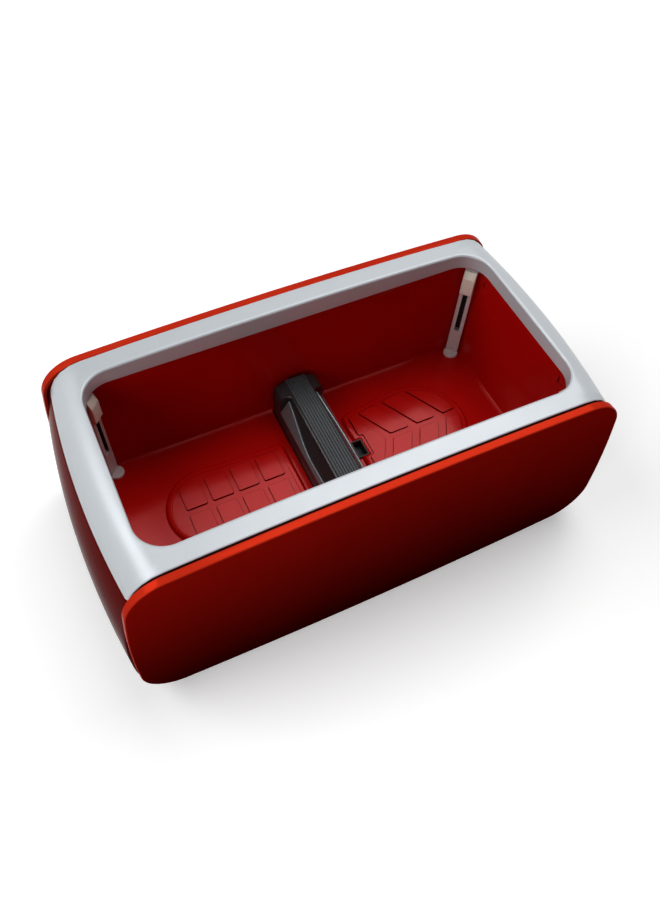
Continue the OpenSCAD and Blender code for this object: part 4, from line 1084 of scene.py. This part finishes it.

# ABS, moulded and lacquered as the tray is; the lacquer tints what it mirrors. The ends take a
# darker copy of the red, painted shade, and it darkens further towards the foot, painted shade too.
cover_sheen = "#ff5040"
shaded_end_red = red_lacquer(
    "lacquered ABS, end red painted in shade", "#5e0b06", "#701008", 0.08, 0.001, cover_sheen, "#2c0403"
)
for name, side in (("left", -1), ("right", 1)):
    make_piece(
        f"{name}_end_shell", "root", shaded_end_red, [f"{name}_end_panel"],
        [closed(end_shell) * (side, 1, 1)], caps=[end_shell[i] * (side, 1, 1) for i in (0, -1)],
    )

# Front and back panels: red covers that lean out to the foot, with round corners, bulged sides and
# a rim turned in all round. Moulded ABS shells, lacquered, hooked over the base plate.
panel_half, panel_drop, panel_lift = node_box("front_panel")[1][0], 1.5, 3.6
top_r, side_r, heel_r, sole_r = 40, 700, 40, 3000
face_top = -panel_drop / np.cos(panel_lean)
face_foot = -(body_top - panel_lift) / np.cos(panel_lean)
face_middle, spine_half = (face_top + face_foot) / 2, 135
arc_x, arc_y = panel_half - side_r, -(body_top - bulge_z) / np.cos(panel_lean)


def sole_rise(x):
    """How far the crowned foot has risen at x: the sagitta of a circle of radius sole_r."""
    return sole_r - np.sqrt(sole_r**2 - x**2)


first_y = face_top - crown(panel_half - top_r) - top_r
top_x = arc_x + np.sqrt((side_r - top_r) ** 2 - (first_y - arc_y) ** 2)
top_y = face_top - crown(top_x) - top_r
heel_y = face_foot + sole_rise(panel_half - heel_r) + heel_r
heel_side = arc_x + np.sqrt((side_r - heel_r) ** 2 - (heel_y - arc_y) ** 2)
top_turn = np.degrees(np.arctan2(top_y - arc_y, top_x - arc_x))
heel_turn = np.degrees(np.arctan2(heel_y - arc_y, heel_side - arc_x))


def panel_outline(in_by):
    """A panel's outline on its own leaning face, moved in: crowned top, arcs of the top corner, of
    the bulged side and of the foot corner, crowned foot; then the same mirrored."""
    along_top, along_foot = np.linspace(0, top_x, 30), np.linspace(heel_side, 0, 30)
    right = np.concatenate([
        points_of(along_top, face_top - in_by - crown(along_top)),
        arc(top_x, top_y, top_r - in_by, 87, top_turn, 24),
        arc(arc_x, arc_y, side_r - in_by, top_turn - 1, heel_turn + 1, 12),
        arc(heel_side, heel_y, heel_r - in_by, heel_turn, -87, 24),
        points_of(along_foot, face_foot + in_by + sole_rise(along_foot)),
    ])
    return np.concatenate([right, right[::-1] * (-1, 1)])


def on_panel(outline, depth):
    """Places on the front panel's leaning face, at a depth behind it."""
    y = outline[:, 1] * np.sin(panel_lean) + depth * np.cos(panel_lean) - panel_w / 2
    z = outline[:, 1] * np.cos(panel_lean) - depth * np.sin(panel_lean) + body_top
    return points_of(outline[:, 0], y, z)


def towards_spine(outline, share):
    """The outline drawn in towards a line along the panel's middle."""
    spine = points_of(np.clip(outline[:, 0], -spine_half, spine_half), face_middle)
    return outline + (spine - outline) * share


panel_edge, pillow = 1.1, 0.5  # rounding of the edge, and how far the face swells to its middle
inside_depth, pillow_share = panel_skin + 0.6, 0.5
face_edge, inner_face = panel_outline(panel_edge), panel_outline(panel_skin)
inside_rows = [
    on_panel(towards_spine(inner_face, share), inside_depth) for share in (1.0, 0.6, 0.3, 0.0)
]
rim_rows = [
    on_panel(inner_face, panel_rim), on_panel(panel_outline(0.5), panel_rim),
    on_panel(panel_outline(0.1), panel_rim - 0.4),
    *[
        on_panel(panel_outline(by), drop + pillow)
        for by, drop in zip(*rounded(panel_edge, quarter(5)))
    ],
]
face_rows = [
    on_panel(towards_spine(face_edge, share), pillow * (1 - smooth_step(0, pillow_share, share)))
    for share in (0.04, 0.1, 0.2, 0.35, 0.5, 0.7, 0.85, 1.0)
]
panel_grids = [closed([*inside_rows, rim_rows[0]]), closed([rim_rows[-1], *face_rows])]
# The panel red darkens towards the foot, to #380504: painted shade.
panel_red = red_lacquer(
    "lacquered ABS, panel red", "#a8150a", "#c01e0e", 0.09, 0.0, cover_sheen, "#380504"
)
# The rims take a lighter copy of the panel red: a painted highlight along the rims.
lit_rim_red = red_lacquer(
    "lacquered ABS, rim painted lighter", "#c62513", "#da391f", 0.1, 0.004, cover_sheen
)
for name, side in (("front", 1), ("back", -1)):
    make_piece(
        f"{name}_panel_shell", "root", panel_red, [f"{name}_panel"],
        [grid * (1, side, 1) for grid in panel_grids],
        lined=[closed(rim_rows) * (1, side, 1)], lining=lit_rim_red,
    )

# Floor and studio: pale paper that lies flat and sweeps up all round, far from the object, under a
# large softbox on each side, a small one in front and a dim surround. The camera, reflections and
# clear parts see the paper as white, whiter with distance; other rays see it as grey.
floor_half = 7000
flat = np.array([(-1, -1, 0), (1, -1, 0), (1, 1, 0), (-1, 1, 0)]) * floor_half
sweep_profile = [(4600, 0), (5200, 60), (5700, 300), (6000, 800), (6100, 1500), (6100, 3500)]
sweep = lathe(sweep_profile, 0, 0, 72)
paper_points = np.concatenate([flat, cells(sweep).reshape(-1, 3)]) * MM
paper_faces = np.arange(len(paper_points)).reshape(-1, 4)
floor_mesh = bpy.data.meshes.new("studio_floor")
floor_mesh.from_pydata(paper_points.tolist(), [], paper_faces.tolist())
studio_floor = add_object("studio_floor", floor_mesh)

paper, paper_tree, paper_place = new_finish("matt paper")
rays = add_node(paper_tree, "LightPath").outputs
seen = maths(paper_tree, "MAXIMUM", rays["Is Camera Ray"], rays["Is Glossy Ray"])
seen = maths(paper_tree, "MAXIMUM", seen, rays["Is Transmission Ray"])
distance = add_node(paper_tree, "VectorMath", {0: paper_place}, operation="LENGTH").outputs["Value"]
near_fill, far_fill, near, far = 0.36, 0.92, 0.5, 3.0  # distances in metres
fill = ranged(paper_tree, distance, near_fill, far_fill, near, far)
principled(paper_tree, {
    "Base Color": mixed(paper_tree, seen, srgb("#484848"), srgb("#f6f6f6")),
    "Roughness": 1.0, "Specular IOR Level": 0.0,
    "Emission Color": srgb("#ffffff"),
    "Emission Strength": maths(paper_tree, "MULTIPLY", seen, fill),
})
floor_mesh.materials.append(paper)

surround = bpy.data.worlds.new("studio_surround")
surround.use_nodes = True
surround.node_tree.nodes.clear()
dim_white = {"Color": srgb("#ffffff"), "Strength": 0.08}
backdrop = add_node(surround.node_tree, "Background", dim_white)
add_node(surround.node_tree, "OutputWorld", {"Surface": backdrop.outputs[0]})
bpy.context.scene.world = surround


def aimed(right, up, back, place):
    """Matrix of a lamp or camera: its axes to the right, up and back, and its place."""
    return mathutils.Matrix(np.vstack([np.column_stack([right, up, back, place]), (0, 0, 0, 1)]))


def softbox(name, place, size, power):
    """Rectangular lamp aimed at the middle of the object, 0.1 m up; place and size in metres."""
    lamp = bpy.data.lights.new(name, "AREA")
    lamp.shape = "RECTANGLE"
    lamp.size, lamp.size_y = size
    lamp.energy = power
    back = unit(np.array(place) - (0, 0, 0.1))
    right = unit(np.cross((0, 1, 0.001), back))
    add_object(name, lamp).matrix_world = aimed(right, np.cross(back, right), back, place)


softbox("right_softbox", (1.2, 0.85, 3.0), (2.6, 1.8), 54)
softbox("left_softbox", (-1.9, 0.9, 2.5), (1.6, 1.8), 40)
softbox("front_softbox", (-0.7, -0.65, 0.6), (0.4, 0.4), 2.0)

# Camera: at the photograph's angle, from the corner where the frame, the well and two panels show.
# Its place, angles and focal length were fitted to the edges of the box.
camera_place = np.array((-206.92, -365.21, 740.35)) * MM
yaw, pitch, roll = np.radians((-29.83, 57.29, 4.92))
photo_h, focal = 900, 798.17  # pixels
view_back = np.array(
    (np.sin(yaw) * np.cos(pitch), -np.cos(yaw) * np.cos(pitch), np.sin(pitch))
)
view_right = unit(np.cross(-view_back, (0, 0, 1)))
view_up = np.cross(view_back, view_right)
rolled_right = np.cos(roll) * view_right + np.sin(roll) * view_up
rolled_up = np.cos(roll) * view_up - np.sin(roll) * view_right
lens = bpy.data.cameras.new("photo_camera")
lens.sensor_width = 36
lens.lens = focal * lens.sensor_width / photo_h
camera = add_object("photo_camera", lens)
camera.matrix_world = aimed(rolled_right, rolled_up, view_back, camera_place)
bpy.context.scene.camera = camera
bpy.context.scene.view_settings.view_transform = "Standard"
